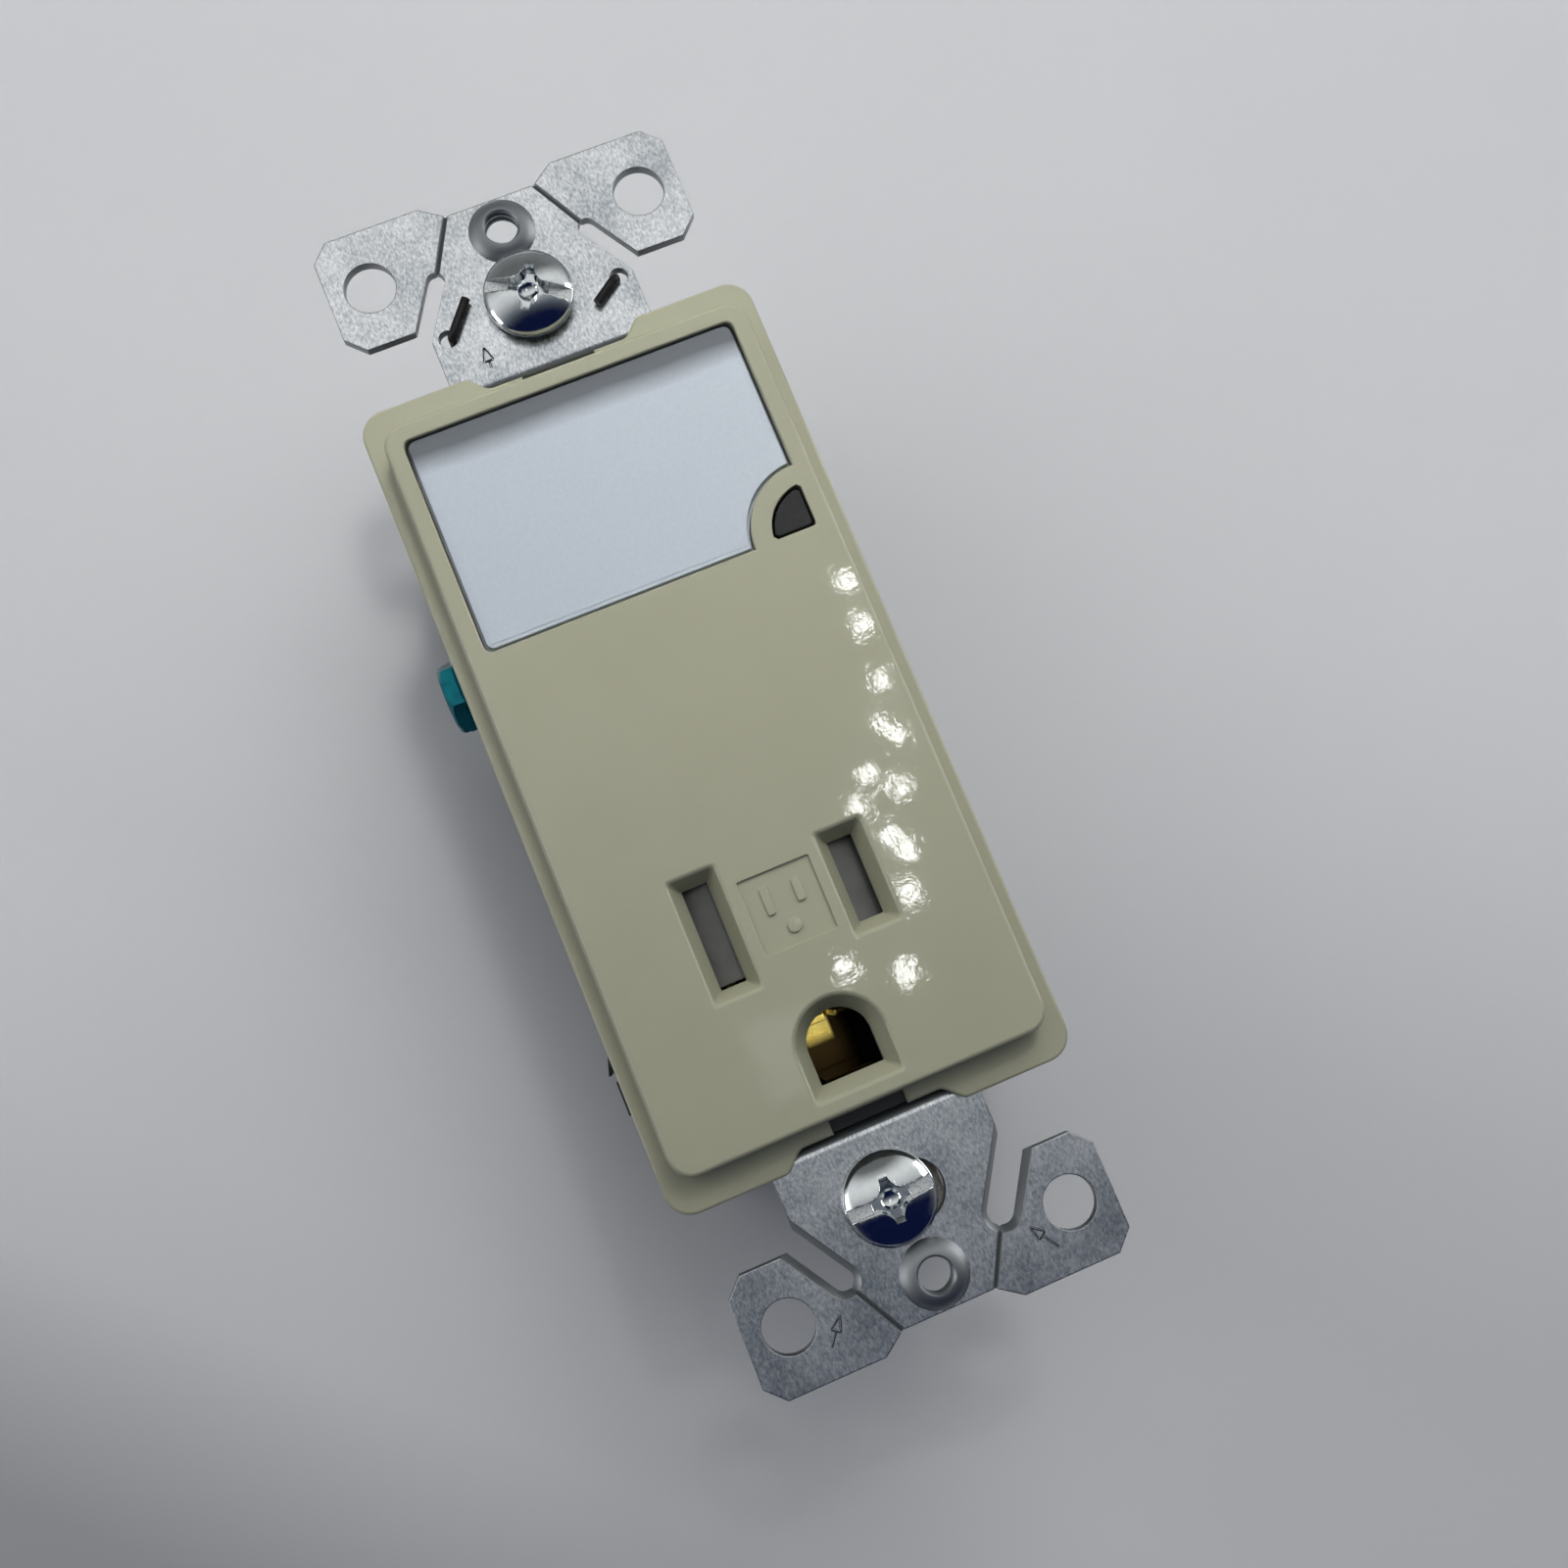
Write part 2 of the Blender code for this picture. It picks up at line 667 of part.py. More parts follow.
def notch_cutter(sign_x, sign_y, width, bevel_width):
    """The notch between the neck and an ear. A wire stripper's is bevelled all round."""
    end = Vector((sign_x * NOTCH_END_X, sign_y * NOTCH_END_Y))
    mouth = Vector((sign_x * (NECK_HALF_W + EAR_NECK_X) / 2, sign_y * (NECK_SHOULDER_Y + EAR_INNER_Y) / 2))
    along = (mouth - end).normalized()
    start = mouth + along * (width + bevel_width)
    low, edge, high = STRAP_TOP - STRAP_T - OVER, STRAP_TOP - STRAP_T + STRIPPER_LAND, STRAP_TOP + OVER
    past = bevel_width * (high - edge) / (STRAP_TOP - edge)
    narrow = stadium(start, end, width)
    wide = stadium(start, end, width + 2 * past)
    return loft("strap_notch", [(narrow, low), (narrow, edge), (wide, high)])


def make_strap():
    strap = plate("mounting_strap", [strap_side()], -EAR_HALF_W - OVER, EAR_HALF_W + OVER, "X")
    for sign_y in (1, -1):
        foot = circle((0, sign_y * PLATE_Y), COLLAR_R)
        rim = circle((0, sign_y * PLATE_Y), COLLAR_R - COLLAR_SLOPE)
        rings = [(foot, STRAP_TOP - EMBED), (foot, STRAP_TOP), (rim, STRAP_TOP + COLLAR_H)]
        fuse(strap, loft("plate_collar", rings))
    low, high = STRAP_TOP - STRAP_T - OVER, STRAP_TOP + COLLAR_H + OVER
    keep_inside(strap, plate("strap_plan", [strap_plan()], -OVER, high))
    bend = GROUND_TAB_X - STRAP_T / 2
    tab_line = [
        (-NECK_HALF_W + EMBED, STRAP_T / 2),
        (-bend + BEND_R, STRAP_T / 2),
        (-bend, STRAP_T / 2 + BEND_R),
        (-bend, GROUND_Z + GROUND_TAB_RISE),
    ]
    tab_y = (GROUND_Y - GROUND_TAB_HALF_L, GROUND_Y + GROUND_TAB_HALF_L)
    fuse(strap, plate("ground_tab", [strip(tab_line, STRAP_T)], *tab_y, "Y"))
    openings = []
    notches = {
        (1, 1): (TOP_NOTCH_W, 0),
        (-1, 1): (TOP_NOTCH_W, 0),
        (1, -1): (RIGHT_STRIPPER_W, STRIPPER_BEVEL),
        (-1, -1): (LEFT_STRIPPER_W, STRIPPER_BEVEL),
    }
    for sign_y in (1, -1):
        reach = MOUNT_SLOT_L / 2 - MOUNT_SLOT_W / 2
        y = sign_y * MOUNT_Y
        openings.append(stadium((-reach, y), (reach, y), MOUNT_SLOT_W))
        openings.append(circle((0, sign_y * PLATE_Y), PLATE_HOLE_D / 2))
        for sign_x in (1, -1):
            cut(strap, notch_cutter(sign_x, sign_y, *notches[sign_x, sign_y]))
            openings.append(circle((sign_x * EAR_HOLE_X, sign_y * EAR_HOLE_Y), EAR_HOLE_D / 2))
            for level in (STRAP_TOP, STRAP_TOP - STRAP_T):
                cut(strap, score_bar("ear_score", sign_x, sign_y, level))
    openings += [circle((side * CLIP_HOLE_X, CLIP_HOLE_Y), CLIP_HOLE_D / 2, 12) for side in (1, -1)]
    for outline in openings:
        cut(strap, plate("strap_opening", [outline], low, high))
    cut(
        strap,
        rod(
            "ground_screw_hole",
            "X",
            (GROUND_Y, GROUND_Z),
            GROUND_SHANK_R + FIT,
            -GROUND_TAB_X - OVER,
            -GROUND_TAB_X + STRAP_T + OVER,
        ),
        rod(
            "rivet_hole",
            "Y",
            (0, RIVET_Z),
            RIVET_R + FIT,
            -LEG_INNER_Y - STRAP_T - OVER,
            -LEG_INNER_Y + OVER,
        ),
    )
    finish(strap, "zinc_steel")


def flange_outline():
    """The flange with the relief that each end has over the strap."""
    r = FLANGE_R
    rise = FLANGE_HALF_L - END_NOTCH_DEPTH
    sweep = []
    for i in range(ARC_STEPS + 1):
        share = i / ARC_STEPS
        ease = (1 - math.cos(math.pi * share)) / 2
        x = END_NOTCH_IN_X + (END_NOTCH_OUT_X - END_NOTCH_IN_X) * share
        sweep.append((x, rise + END_NOTCH_DEPTH * ease))
    low = [(END_GAP_HALF_W, -FACE_HALF_L + EMBED), (END_GAP_HALF_W, -rise)]
    low += [(x, -y) for x, y in sweep]
    low += arc((FLANGE_HALF_W - r, -FLANGE_HALF_L + r), r, -90, 0)
    high = arc((FLANGE_HALF_W - r, FLANGE_HALF_L - r), r, 0, 90)
    high += sweep[::-1]
    high += [(END_GAP_HALF_W, rise), (END_GAP_HALF_W, rise - TOP_GAP_DEPTH)]
    return both_sides(low + high)


def window_outline(inset):
    """The night-light window: a rectangle whose lower right corner gives way to the sensor's web."""
    x0, x1 = -WINDOW_HALF_W + inset, WINDOW_HALF_W - inset
    y0, y1 = WINDOW_LOW_Y + inset, WINDOW_HIGH_Y - inset
    r = WINDOW_R
    web = WEB_R + inset
    start = 180 - math.degrees(math.asin((y0 - SENSOR_Y) / web))
    end = math.degrees(math.acos((x1 - SENSOR_X) / web))
    return (
        arc((SENSOR_X, SENSOR_Y), web, start, end, 8)
        + arc((x1 - r, y1 - r), r, 0, 90, 3)
        + arc((x0 + r, y1 - r), r, 90, 180, 3)
        + arc((x0 + r, y0 + r), r, 180, 270, 3)
    )


def sensor_outline(inset):
    """The sensor window: a quarter disc in the corner of the night-light window."""
    margin = SENSOR_MARGIN + inset
    radius = SENSOR_R - inset
    tilt = math.degrees(math.asin(margin / radius))
    corner = (SENSOR_X - margin, SENSOR_Y + margin)
    return [corner] + arc((SENSOR_X, SENSOR_Y), radius, 90 + tilt, 180 - tilt, 8)


def slot_mouth(name, x, length):
    """The cutter of a blade slot with its flared mouth."""

    def outline(grow):
        half_w, half_l = SLOT_W / 2 + grow, length / 2 + grow
        return [
            (x - half_w, BLADE_Y - half_l),
            (x + half_w, BLADE_Y - half_l),
            (x + half_w, BLADE_Y + half_l),
            (x - half_w, BLADE_Y + half_l),
        ]

    past = FLARE * (1 + OVER / FLARE_DEPTH)
    rings = [
        (outline(0), FACE_INNER - OVER),
        (outline(0), FACE_TOP - FLARE_DEPTH),
        (outline(past), FACE_TOP + OVER),
    ]
    return loft(name, rings)


def pin_outline(grow):
    """The ground hole: flat below and round above."""
    half = PIN_HALF_W + grow
    middle = PIN_TOP_Y - PIN_HALF_W
    return [(-half, PIN_LOW_Y - grow), (half, PIN_LOW_Y - grow)] + arc((0, middle), half, 0, 180, 10)


def pin_mouth():
    past = PIN_FLARE * (1 + OVER / FLARE_DEPTH)
    rings = [
        (pin_outline(0), FACE_INNER - OVER),
        (pin_outline(0), FACE_TOP - FLARE_DEPTH),
        (pin_outline(past), FACE_TOP + OVER),
    ]
    return loft("pin_mouth", rings)


def post_places():
    return [(x, y) for y in (POST_LOW_Y, POST_HIGH_Y) for x in (-POST_X, POST_X)]


def make_cover():
    face = rounded_rectangle((-FACE_HALF_W, FACE_HALF_W), (-FACE_HALF_L, FACE_HALF_L), FACE_R)
    cover = plate("front_cover", [face], FLANGE_LOW - FACE_EDGE_R - OVER, FACE_TOP)
    bevel(cover, FACE_EDGE_R, segments=3)
    wide, long = FLANGE_HALF_W + OVER, FLANGE_HALF_L + OVER
    cut(
        cover,
        block(
            "cover_underside",
            (-wide, wide),
            (-long, long),
            (FLANGE_LOW - FACE_EDGE_R - 2 * OVER, FLANGE_LOW),
        ),
    )
    fuse(cover, plate("flange", [flange_outline()], FLANGE_LOW, FLANGE_TOP))
    cavity = rounded_rectangle(
        (-CAVITY_HALF_W, CAVITY_HALF_W), (-CAVITY_HALF_L, CAVITY_HALF_L), WINDOW_R, 3
    )
    cut(cover, plate("cover_cavity", [cavity], FLANGE_LOW - OVER, FACE_INNER))
    for place in post_places():
        fuse(cover, rod("boss", "Z", place, BOSS_R, POST_TOP + GAP, FACE_INNER + EMBED, sides=16))
    mark_y = (BLADE_Y - MARK_HALF_L, BLADE_Y + MARK_HALF_L)
    cut(
        cover,
        plate("window", [window_outline(0)], FACE_INNER - OVER, FACE_TOP + OVER),
        plate("sensor_hole", [sensor_outline(0)], FACE_INNER - OVER, FACE_TOP + OVER),
        slot_mouth("neutral_mouth", -BLADE_X, NEUTRAL_SLOT_L),
        slot_mouth("hot_mouth", BLADE_X, HOT_SLOT_L),
        pin_mouth(),
        block("mark_recess", (-MARK_HALF_W, MARK_HALF_W), mark_y, (FACE_TOP - MARK_DEPTH, FACE_TOP + OVER)),
    )
    tip = HOUSING_BACK + ASSEMBLY_SINK + ASSEMBLY_HEAD_H + ASSEMBLY_L
    for place in post_places():
        radius = ASSEMBLY_SHANK_R + FIT
        cut(cover, rod("pilot", "Z", place, radius, POST_TOP - OVER, tip + GAP, sides=12))
    finish(cover, "almond_plastic")


def make_lens_and_sensor():
    lens = plate("night_light_lens", [window_outline(LENS_GAP)], LENS_LOW, LENS_TOP)
    finish(lens, "frosted_lens")
    top = FACE_TOP - SENSOR_RECESS
    pipe = plate("sensor_window", [sensor_outline(GAP)], top - SENSOR_PIPE_L, top)
    finish(pipe, "smoked_plastic")


def make_housing():
    out_w, out_l = (-HOUSING_HALF_W, HOUSING_HALF_W), (-HOUSING_HALF_L, HOUSING_HALF_L)
    in_w, in_l = (-HOUSING_IN_W, HOUSING_IN_W), (-HOUSING_IN_L, HOUSING_IN_L)
    body = rounded_rectangle(out_w, out_l, HOUSING_R, 3)
    room = rounded_rectangle(in_w, in_l, HOUSING_R / 2, 3)
    housing = plate("rear_housing", [body], HOUSING_BACK, STRAP_TOP)
    cut(housing, plate("housing_room", [room], HOUSING_FLOOR, STRAP_TOP + OVER))
    pedestal_y = (TERMINAL_Y - BAY_HALF, TERMINAL_Y + BAY_HALF)
    rib_top = STRAP_TOP - RIB_TOP_DROP
    for side in (-1, 1):
        near, far = BLADE_X - LEAF_GAP - 2 * BRASS_T, HOUSING_IN_W + EMBED
        x = sorted((side * near, side * far))
        fuse(housing, block("pedestal", x, pedestal_y, (HOUSING_FLOOR - EMBED, PEDESTAL_TOP)))
        out = sorted((side * (HOUSING_HALF_W - EMBED), side * RIB_OUT_X))
        for y in (pedestal_y[0] - RIB_T, pedestal_y[1]):
            fuse(housing, block("barrier_rib", out, (y, y + RIB_T), (RIB_FOOT, rib_top)))
        bay_x = sorted((side * (HOUSING_IN_W - OVER), side * (RIB_OUT_X + OVER)))
        cut(housing, block("terminal_bay", bay_x, pedestal_y, (PEDESTAL_TOP + GAP, TERMINAL_Z + BAY_HALF)))
        wire_x = side * (TERMINAL_OUT_X + CLAMP_IN_X) / 2
        for y in (TERMINAL_Y - WIRE_HOLE_STEP, TERMINAL_Y + WIRE_HOLE_STEP):
            top = PEDESTAL_TOP + OVER
            cut(housing, rod("wire_hole", "Z", (wire_x, y), WIRE_HOLE_R, HOUSING_BACK - OVER, top, sides=12))
    rib_y = pedestal_y[0] - RIB_T
    tip_x, root_x = -FLANGE_HALF_W - FIN_REACH, EMBED - RIB_OUT_X
    fin_y = pedestal_y[0] - FIN_T
    fin = [
        (root_x, fin_y),
        (root_x, fin_y - FIN_ROOT_L),
        (tip_x + FIN_T, fin_y - FIN_L),
        (tip_x, fin_y - FIN_L),
        (-RIB_OUT_X - FIN_T, fin_y),
    ]
    pad_x = (-FLANGE_HALF_W - PAD_REACH, EMBED - HOUSING_HALF_W)
    pad_y = (rib_y - PAD_FROM_RIB - PAD_L, rib_y - PAD_FROM_RIB)
    fuse(
        housing,
        plate("barrier_fin", [fin], rib_top - FIN_H, rib_top - GAP),
        block("side_pad", pad_x, pad_y, (rib_top - PAD_H, rib_top - GAP)),
    )
    ledge_y = (HOUSING_IN_L - LEDGE_L, HOUSING_IN_L + EMBED)
    ledge_z = (HOUSING_FLOOR - EMBED, BOARD_LOW - GAP)
    fuse(housing, block("board_ledge", (-LEAD_X, LEAD_X), ledge_y, ledge_z))
    for x, y in post_places():
        fuse(housing, rod("post", "Z", (x, y), POST_R, HOUSING_FLOOR - EMBED, POST_TOP, sides=16))
    for place in post_places():
        seat = HOUSING_BACK + ASSEMBLY_SINK + ASSEMBLY_HEAD_H + GAP
        radius = ASSEMBLY_SHANK_R + FIT
        cut(
            housing,
            rod("screw_way", "Z", place, radius, HOUSING_BACK - OVER, POST_TOP + OVER, sides=12),
            rod("counterbore", "Z", place, ASSEMBLY_HEAD_R + FIT, HOUSING_BACK - OVER, seat, sides=16),
        )
    reach = (-HOUSING_HALF_W - OVER, -HOUSING_IN_W + OVER)
    cut(
        housing,
        rod("ground_screw_way", "X", (GROUND_Y, GROUND_Z), GROUND_SHANK_R + FIT, *reach),
        rod(
            "rivet_way",
            "Y",
            (0, RIVET_Z),
            RIVET_R + FIT,
            -HOUSING_HALF_L - OVER,
            -HOUSING_IN_L + OVER,
        ),
    )
    finish(housing, "black_plastic")


def make_assembly_screws():
    head = HOUSING_BACK + ASSEMBLY_SINK
    profile = [
        (0, ASSEMBLY_HEAD_H + ASSEMBLY_L),
        (ASSEMBLY_SHANK_R, ASSEMBLY_HEAD_H + ASSEMBLY_L - ASSEMBLY_SHANK_R),
        (ASSEMBLY_SHANK_R, ASSEMBLY_HEAD_H),
        (ASSEMBLY_HEAD_R, ASSEMBLY_HEAD_H),
        (ASSEMBLY_HEAD_R, 0),
        (0, 0),
    ]
    for i, (x, y) in enumerate(post_places(), 1):
        finish(turned(f"assembly_screw_{i}", profile, (x, y, head), (0, 0, 1)), "bright_zinc")


def make_terminal(name, side, screw_material):
    """A terminal screw with its clamp plate, and the brass contact that they hold the wire to."""
    outward = (side, 0, 0)
    axis_point = (side * (TERMINAL_HEAD_X - TERMINAL_HEAD_H), TERMINAL_Y, TERMINAL_Z)
    tip = TERMINAL_HEAD_X - TERMINAL_HEAD_H - TERMINAL_IN_X + TERMINAL_REACH
    profile = [
        (0, TERMINAL_HEAD_H),
        (TERMINAL_HEAD_TOP_R, TERMINAL_HEAD_H),
        (TERMINAL_HEAD_R, TERMINAL_HEAD_RIM),
        (TERMINAL_HEAD_R, 0),
        (TERMINAL_SHANK_R, 0),
        (TERMINAL_SHANK_R, -tip),
        (0, -tip),
    ]
    screw = turned(f"{name}_screw", profile, axis_point, outward)
    outer = (TERMINAL_HEAD_X - SLOT_CUT_DEPTH, TERMINAL_HEAD_X + OVER)
    slot_x = sorted(side * x for x in outer)
    slot_y = (TERMINAL_Y - TERMINAL_HEAD_R - OVER, TERMINAL_Y + TERMINAL_HEAD_R + OVER)
    slot_z = (TERMINAL_Z - SLOT_CUT_W / 2, TERMINAL_Z + SLOT_CUT_W / 2)
    cut(screw, block(f"{name}_screw_slot", slot_x, slot_y, slot_z))
    finish(screw, screw_material)

    clamp_x = sorted((side * CLAMP_OUT_X, side * CLAMP_IN_X))
    clamp_y = (TERMINAL_Y - CLAMP_HALF, TERMINAL_Y + CLAMP_HALF)
    clamp_z = (TERMINAL_Z - CLAMP_HALF, TERMINAL_Z + CLAMP_HALF)
    square = rounded_rectangle(clamp_y, clamp_z, CLAMP_R, 2)
    hole = circle((TERMINAL_Y, TERMINAL_Z), TERMINAL_SHANK_R + FIT, 16)
    clamp = plate(f"{name}_clamp", [square, hole], *clamp_x, "X")
    set_origin(clamp, (side * CLAMP_IN_X, TERMINAL_Y, TERMINAL_Z))
    finish(clamp, "nickel_steel")

    plate_x = TERMINAL_OUT_X - BRASS_T / 2
    base_z = CONTACT_BASE + BRASS_T / 2
    leaf = (LEAF_GAP + BRASS_T) / 2
    line = [
        (plate_x, TERMINAL_Z + CLAMP_HALF),
        (plate_x, base_z),
        (BLADE_X - leaf, base_z),
        (BLADE_X - leaf, LEAF_TOP - LEAF_FLARE_H),
        (BLADE_X - leaf - LEAF_FLARE, LEAF_TOP),
    ]
    other = [
        (BLADE_X + leaf, base_z),
        (BLADE_X + leaf, LEAF_TOP - LEAF_FLARE_H),
        (BLADE_X + leaf + LEAF_FLARE, LEAF_TOP),
    ]
    contact_y = (TERMINAL_Y - CONTACT_HALF_L, TERMINAL_Y + CONTACT_HALF_L)
    outlines = [[(side * x, z) for x, z in strip(points, BRASS_T)] for points in (line, other)]
    contact = plate(f"{name}_contact", outlines[:1], *contact_y, "Y")
    leaf_y = (contact_y[0] + EMBED, contact_y[1] - EMBED)
    fuse(contact, plate(f"{name}_leaf", outlines[1:], *leaf_y, "Y"))
    hole_x = sorted((side * (TERMINAL_OUT_X + OVER), side * (TERMINAL_IN_X - OVER)))
    cut(
        contact,
        rod(
            f"{name}_thread",
            "X",
            (TERMINAL_Y, TERMINAL_Z),
            TERMINAL_SHANK_R + FIT,
            *hole_x,
            sides=16,
        ),
    )
    finish(contact, "brass")


def make_ground():
    """The ground contact with its rivet, and the ground screw on the strap's side tab."""
    wall = -HOUSING_IN_L + GAP + GROUND_LEAF_T / 2
    upper = PIN_TOP_Y - GROUND_LEAF_T
    lower = PIN_LOW_Y - GROUND_LEAF_T / 2
    line = [
        (wall, RIVET_Z - RIVET_HEAD_R - GAP),
        (wall, GROUND_BASE_Z),
        (upper, GROUND_BASE_Z),
        (upper, LEAF_TOP),
    ]
    other = [(lower, GROUND_BASE_Z), (lower, LEAF_TOP)]
    width = (-GROUND_HALF_W, GROUND_HALF_W)
    contact = plate("ground_contact", [strip(line, GROUND_LEAF_T)], *width, "X")
    leaf_width = (width[0] + EMBED, width[1] - EMBED)
    fuse(contact, plate("ground_leaf", [strip(other, GROUND_LEAF_T)], *leaf_width, "X"))
    slit_x = (GROUND_SLIT_X - GROUND_SLIT_W / 2, GROUND_SLIT_X + GROUND_SLIT_W / 2)
    slit_y = (upper - GROUND_LEAF_T, upper + GROUND_LEAF_T)
    cut(
        contact,
        block("ground_slit", slit_x, slit_y, (GROUND_BASE_Z + PIN_HALF_W, LEAF_TOP + OVER)),
        rod("ground_rivet_hole", "Y", (0, RIVET_Z), RIVET_R + FIT, wall - OVER, wall + OVER, sides=16),
    )
    finish(contact, "brass")

    inside = wall + GROUND_LEAF_T / 2 + GAP
    outside = -LEG_INNER_Y - STRAP_T - GAP
    profile = [
        (0, RIVET_HEAD_H),
        (RIVET_HEAD_R, RIVET_RIM),
        (RIVET_HEAD_R, 0),
        (RIVET_R, 0),
        (RIVET_R, outside - inside),
        (RIVET_HEAD_R, outside - inside),
        (RIVET_HEAD_R, outside - inside - RIVET_HEAD_H),
        (0, outside - inside - RIVET_HEAD_H),
    ]
    finish(turned("ground_rivet", profile, (0, inside, RIVET_Z), (0, 1, 0)), "brass")

    seat = (-GROUND_TAB_X - GAP, GROUND_Y, GROUND_Z)
    profile = [
        (0, GROUND_WASHER_H + GROUND_HEX_H),
        (GROUND_HEX_R, GROUND_WASHER_H + GROUND_HEX_H),
        (GROUND_HEX_R, GROUND_WASHER_H),
        (GROUND_WASHER_R, GROUND_WASHER_RIM),
        (GROUND_WASHER_R, 0),
        (GROUND_SHANK_R, 0),
        (GROUND_SHANK_R, -GROUND_SHANK_L),
        (0, -GROUND_SHANK_L),
    ]
    screw = turned("ground_screw", profile, seat, (-1, 0, 0))
    head_x = (seat[0] - GROUND_WASHER_H - GROUND_HEX_H - OVER, seat[0] - GROUND_WASHER_H)
    ring = circle((GROUND_Y, GROUND_Z), GROUND_WASHER_R + OVER)
    hexagon = circle((GROUND_Y, GROUND_Z), GROUND_HEX_R, 6, GROUND_HEX_TURN)
    slot_x = (head_x[0], head_x[0] + OVER + SLOT_CUT_DEPTH)
    slot_y = (GROUND_Y - GROUND_WASHER_R - OVER, GROUND_Y + GROUND_WASHER_R + OVER)
    slot_z = (GROUND_Z - SLOT_CUT_W / 2, GROUND_Z + SLOT_CUT_W / 2)
    cut(
        screw,
        plate("hex_flats", [ring, hexagon], *head_x, "X"),
        block("ground_screw_slot", slot_x, slot_y, slot_z),
    )
    finish(screw, "green_zinc")


def make_shutters():
    """Two spring-loaded shutters that close the blade slots, on the frame that guides them."""
    outer = BLADE_X + SLOT_W / 2 + (SHUTTER_W - SLOT_W) / 2
    inner = outer - SHUTTER_W
    y = (SHUTTER_LOW_Y, SHUTTER_HIGH_Y)
    for name, side in (("neutral_shutter", -1), ("hot_shutter", 1)):
        section = [
            (inner, SHUTTER_LOW),
            (outer, SHUTTER_LOW),
            (outer, SHUTTER_TOP - SHUTTER_RAMP),
            (inner + SHUTTER_LIP, SHUTTER_TOP),
            (inner, SHUTTER_TOP),
        ]
        shutter = plate(name, [[(side * x, z) for x, z in section]], *y, "Y")
        set_origin(shutter, (side * outer, BLADE_Y, SHUTTER_LOW))
        finish(shutter, "grey_plastic")

    half_w = POST_X - BOSS_R - GAP
    low_y = PIN_LOW_Y - GAP
    rail_low = SHUTTER_LOW_Y - GAP - RAIL_T
    high_y = SHUTTER_HIGH_Y + GAP + RAIL_T
    frame = block("shutter_frame", (-half_w, half_w), (low_y, high_y), (FRAME_LOW, FRAME_TOP))
    for start in (rail_low, high_y - RAIL_T):
        fuse(
            frame,
            block(
                "shutter_rail",
                (-half_w + EMBED, half_w - EMBED),
                (start, start + RAIL_T - EMBED / 4),
                (FRAME_TOP - EMBED, SHUTTER_TOP),
            ),
        )
    ways = [
        block(
            "blade_way",
            (side * BLADE_X - SLOT_W / 2 - FIT, side * BLADE_X + SLOT_W / 2 + FIT),
            (BLADE_Y - length / 2 - FIT, BLADE_Y + length / 2 + FIT),
            (FRAME_LOW - OVER, FRAME_TOP + OVER),
        )
        for side, length in ((-1, NEUTRAL_SLOT_L), (1, HOT_SLOT_L))
    ]
    pin = pin_outline(FIT)
    pin = [(x, y if y > PIN_LOW_Y else low_y - OVER) for x, y in pin]
    cut(frame, *ways, plate("pin_way", [pin], FRAME_LOW - OVER, FRAME_TOP + OVER))
    finish(frame, "white_plastic")

    reach = inner - GAP - SPRING_WIRE_R
    steps = SPRING_TURNS * SPRING_STEPS
    level = (SHUTTER_LOW + SHUTTER_TOP) / 2
    coil = []
    for i in range(steps + 1):
        turn = 2 * math.pi * i / SPRING_STEPS
        x = -reach + 2 * reach * i / steps
        coil.append((x, BLADE_Y + SPRING_COIL_R * math.cos(turn), level + SPRING_COIL_R * math.sin(turn)))
    finish(tube("shutter_spring", coil, SPRING_WIRE_R), "spring_steel")


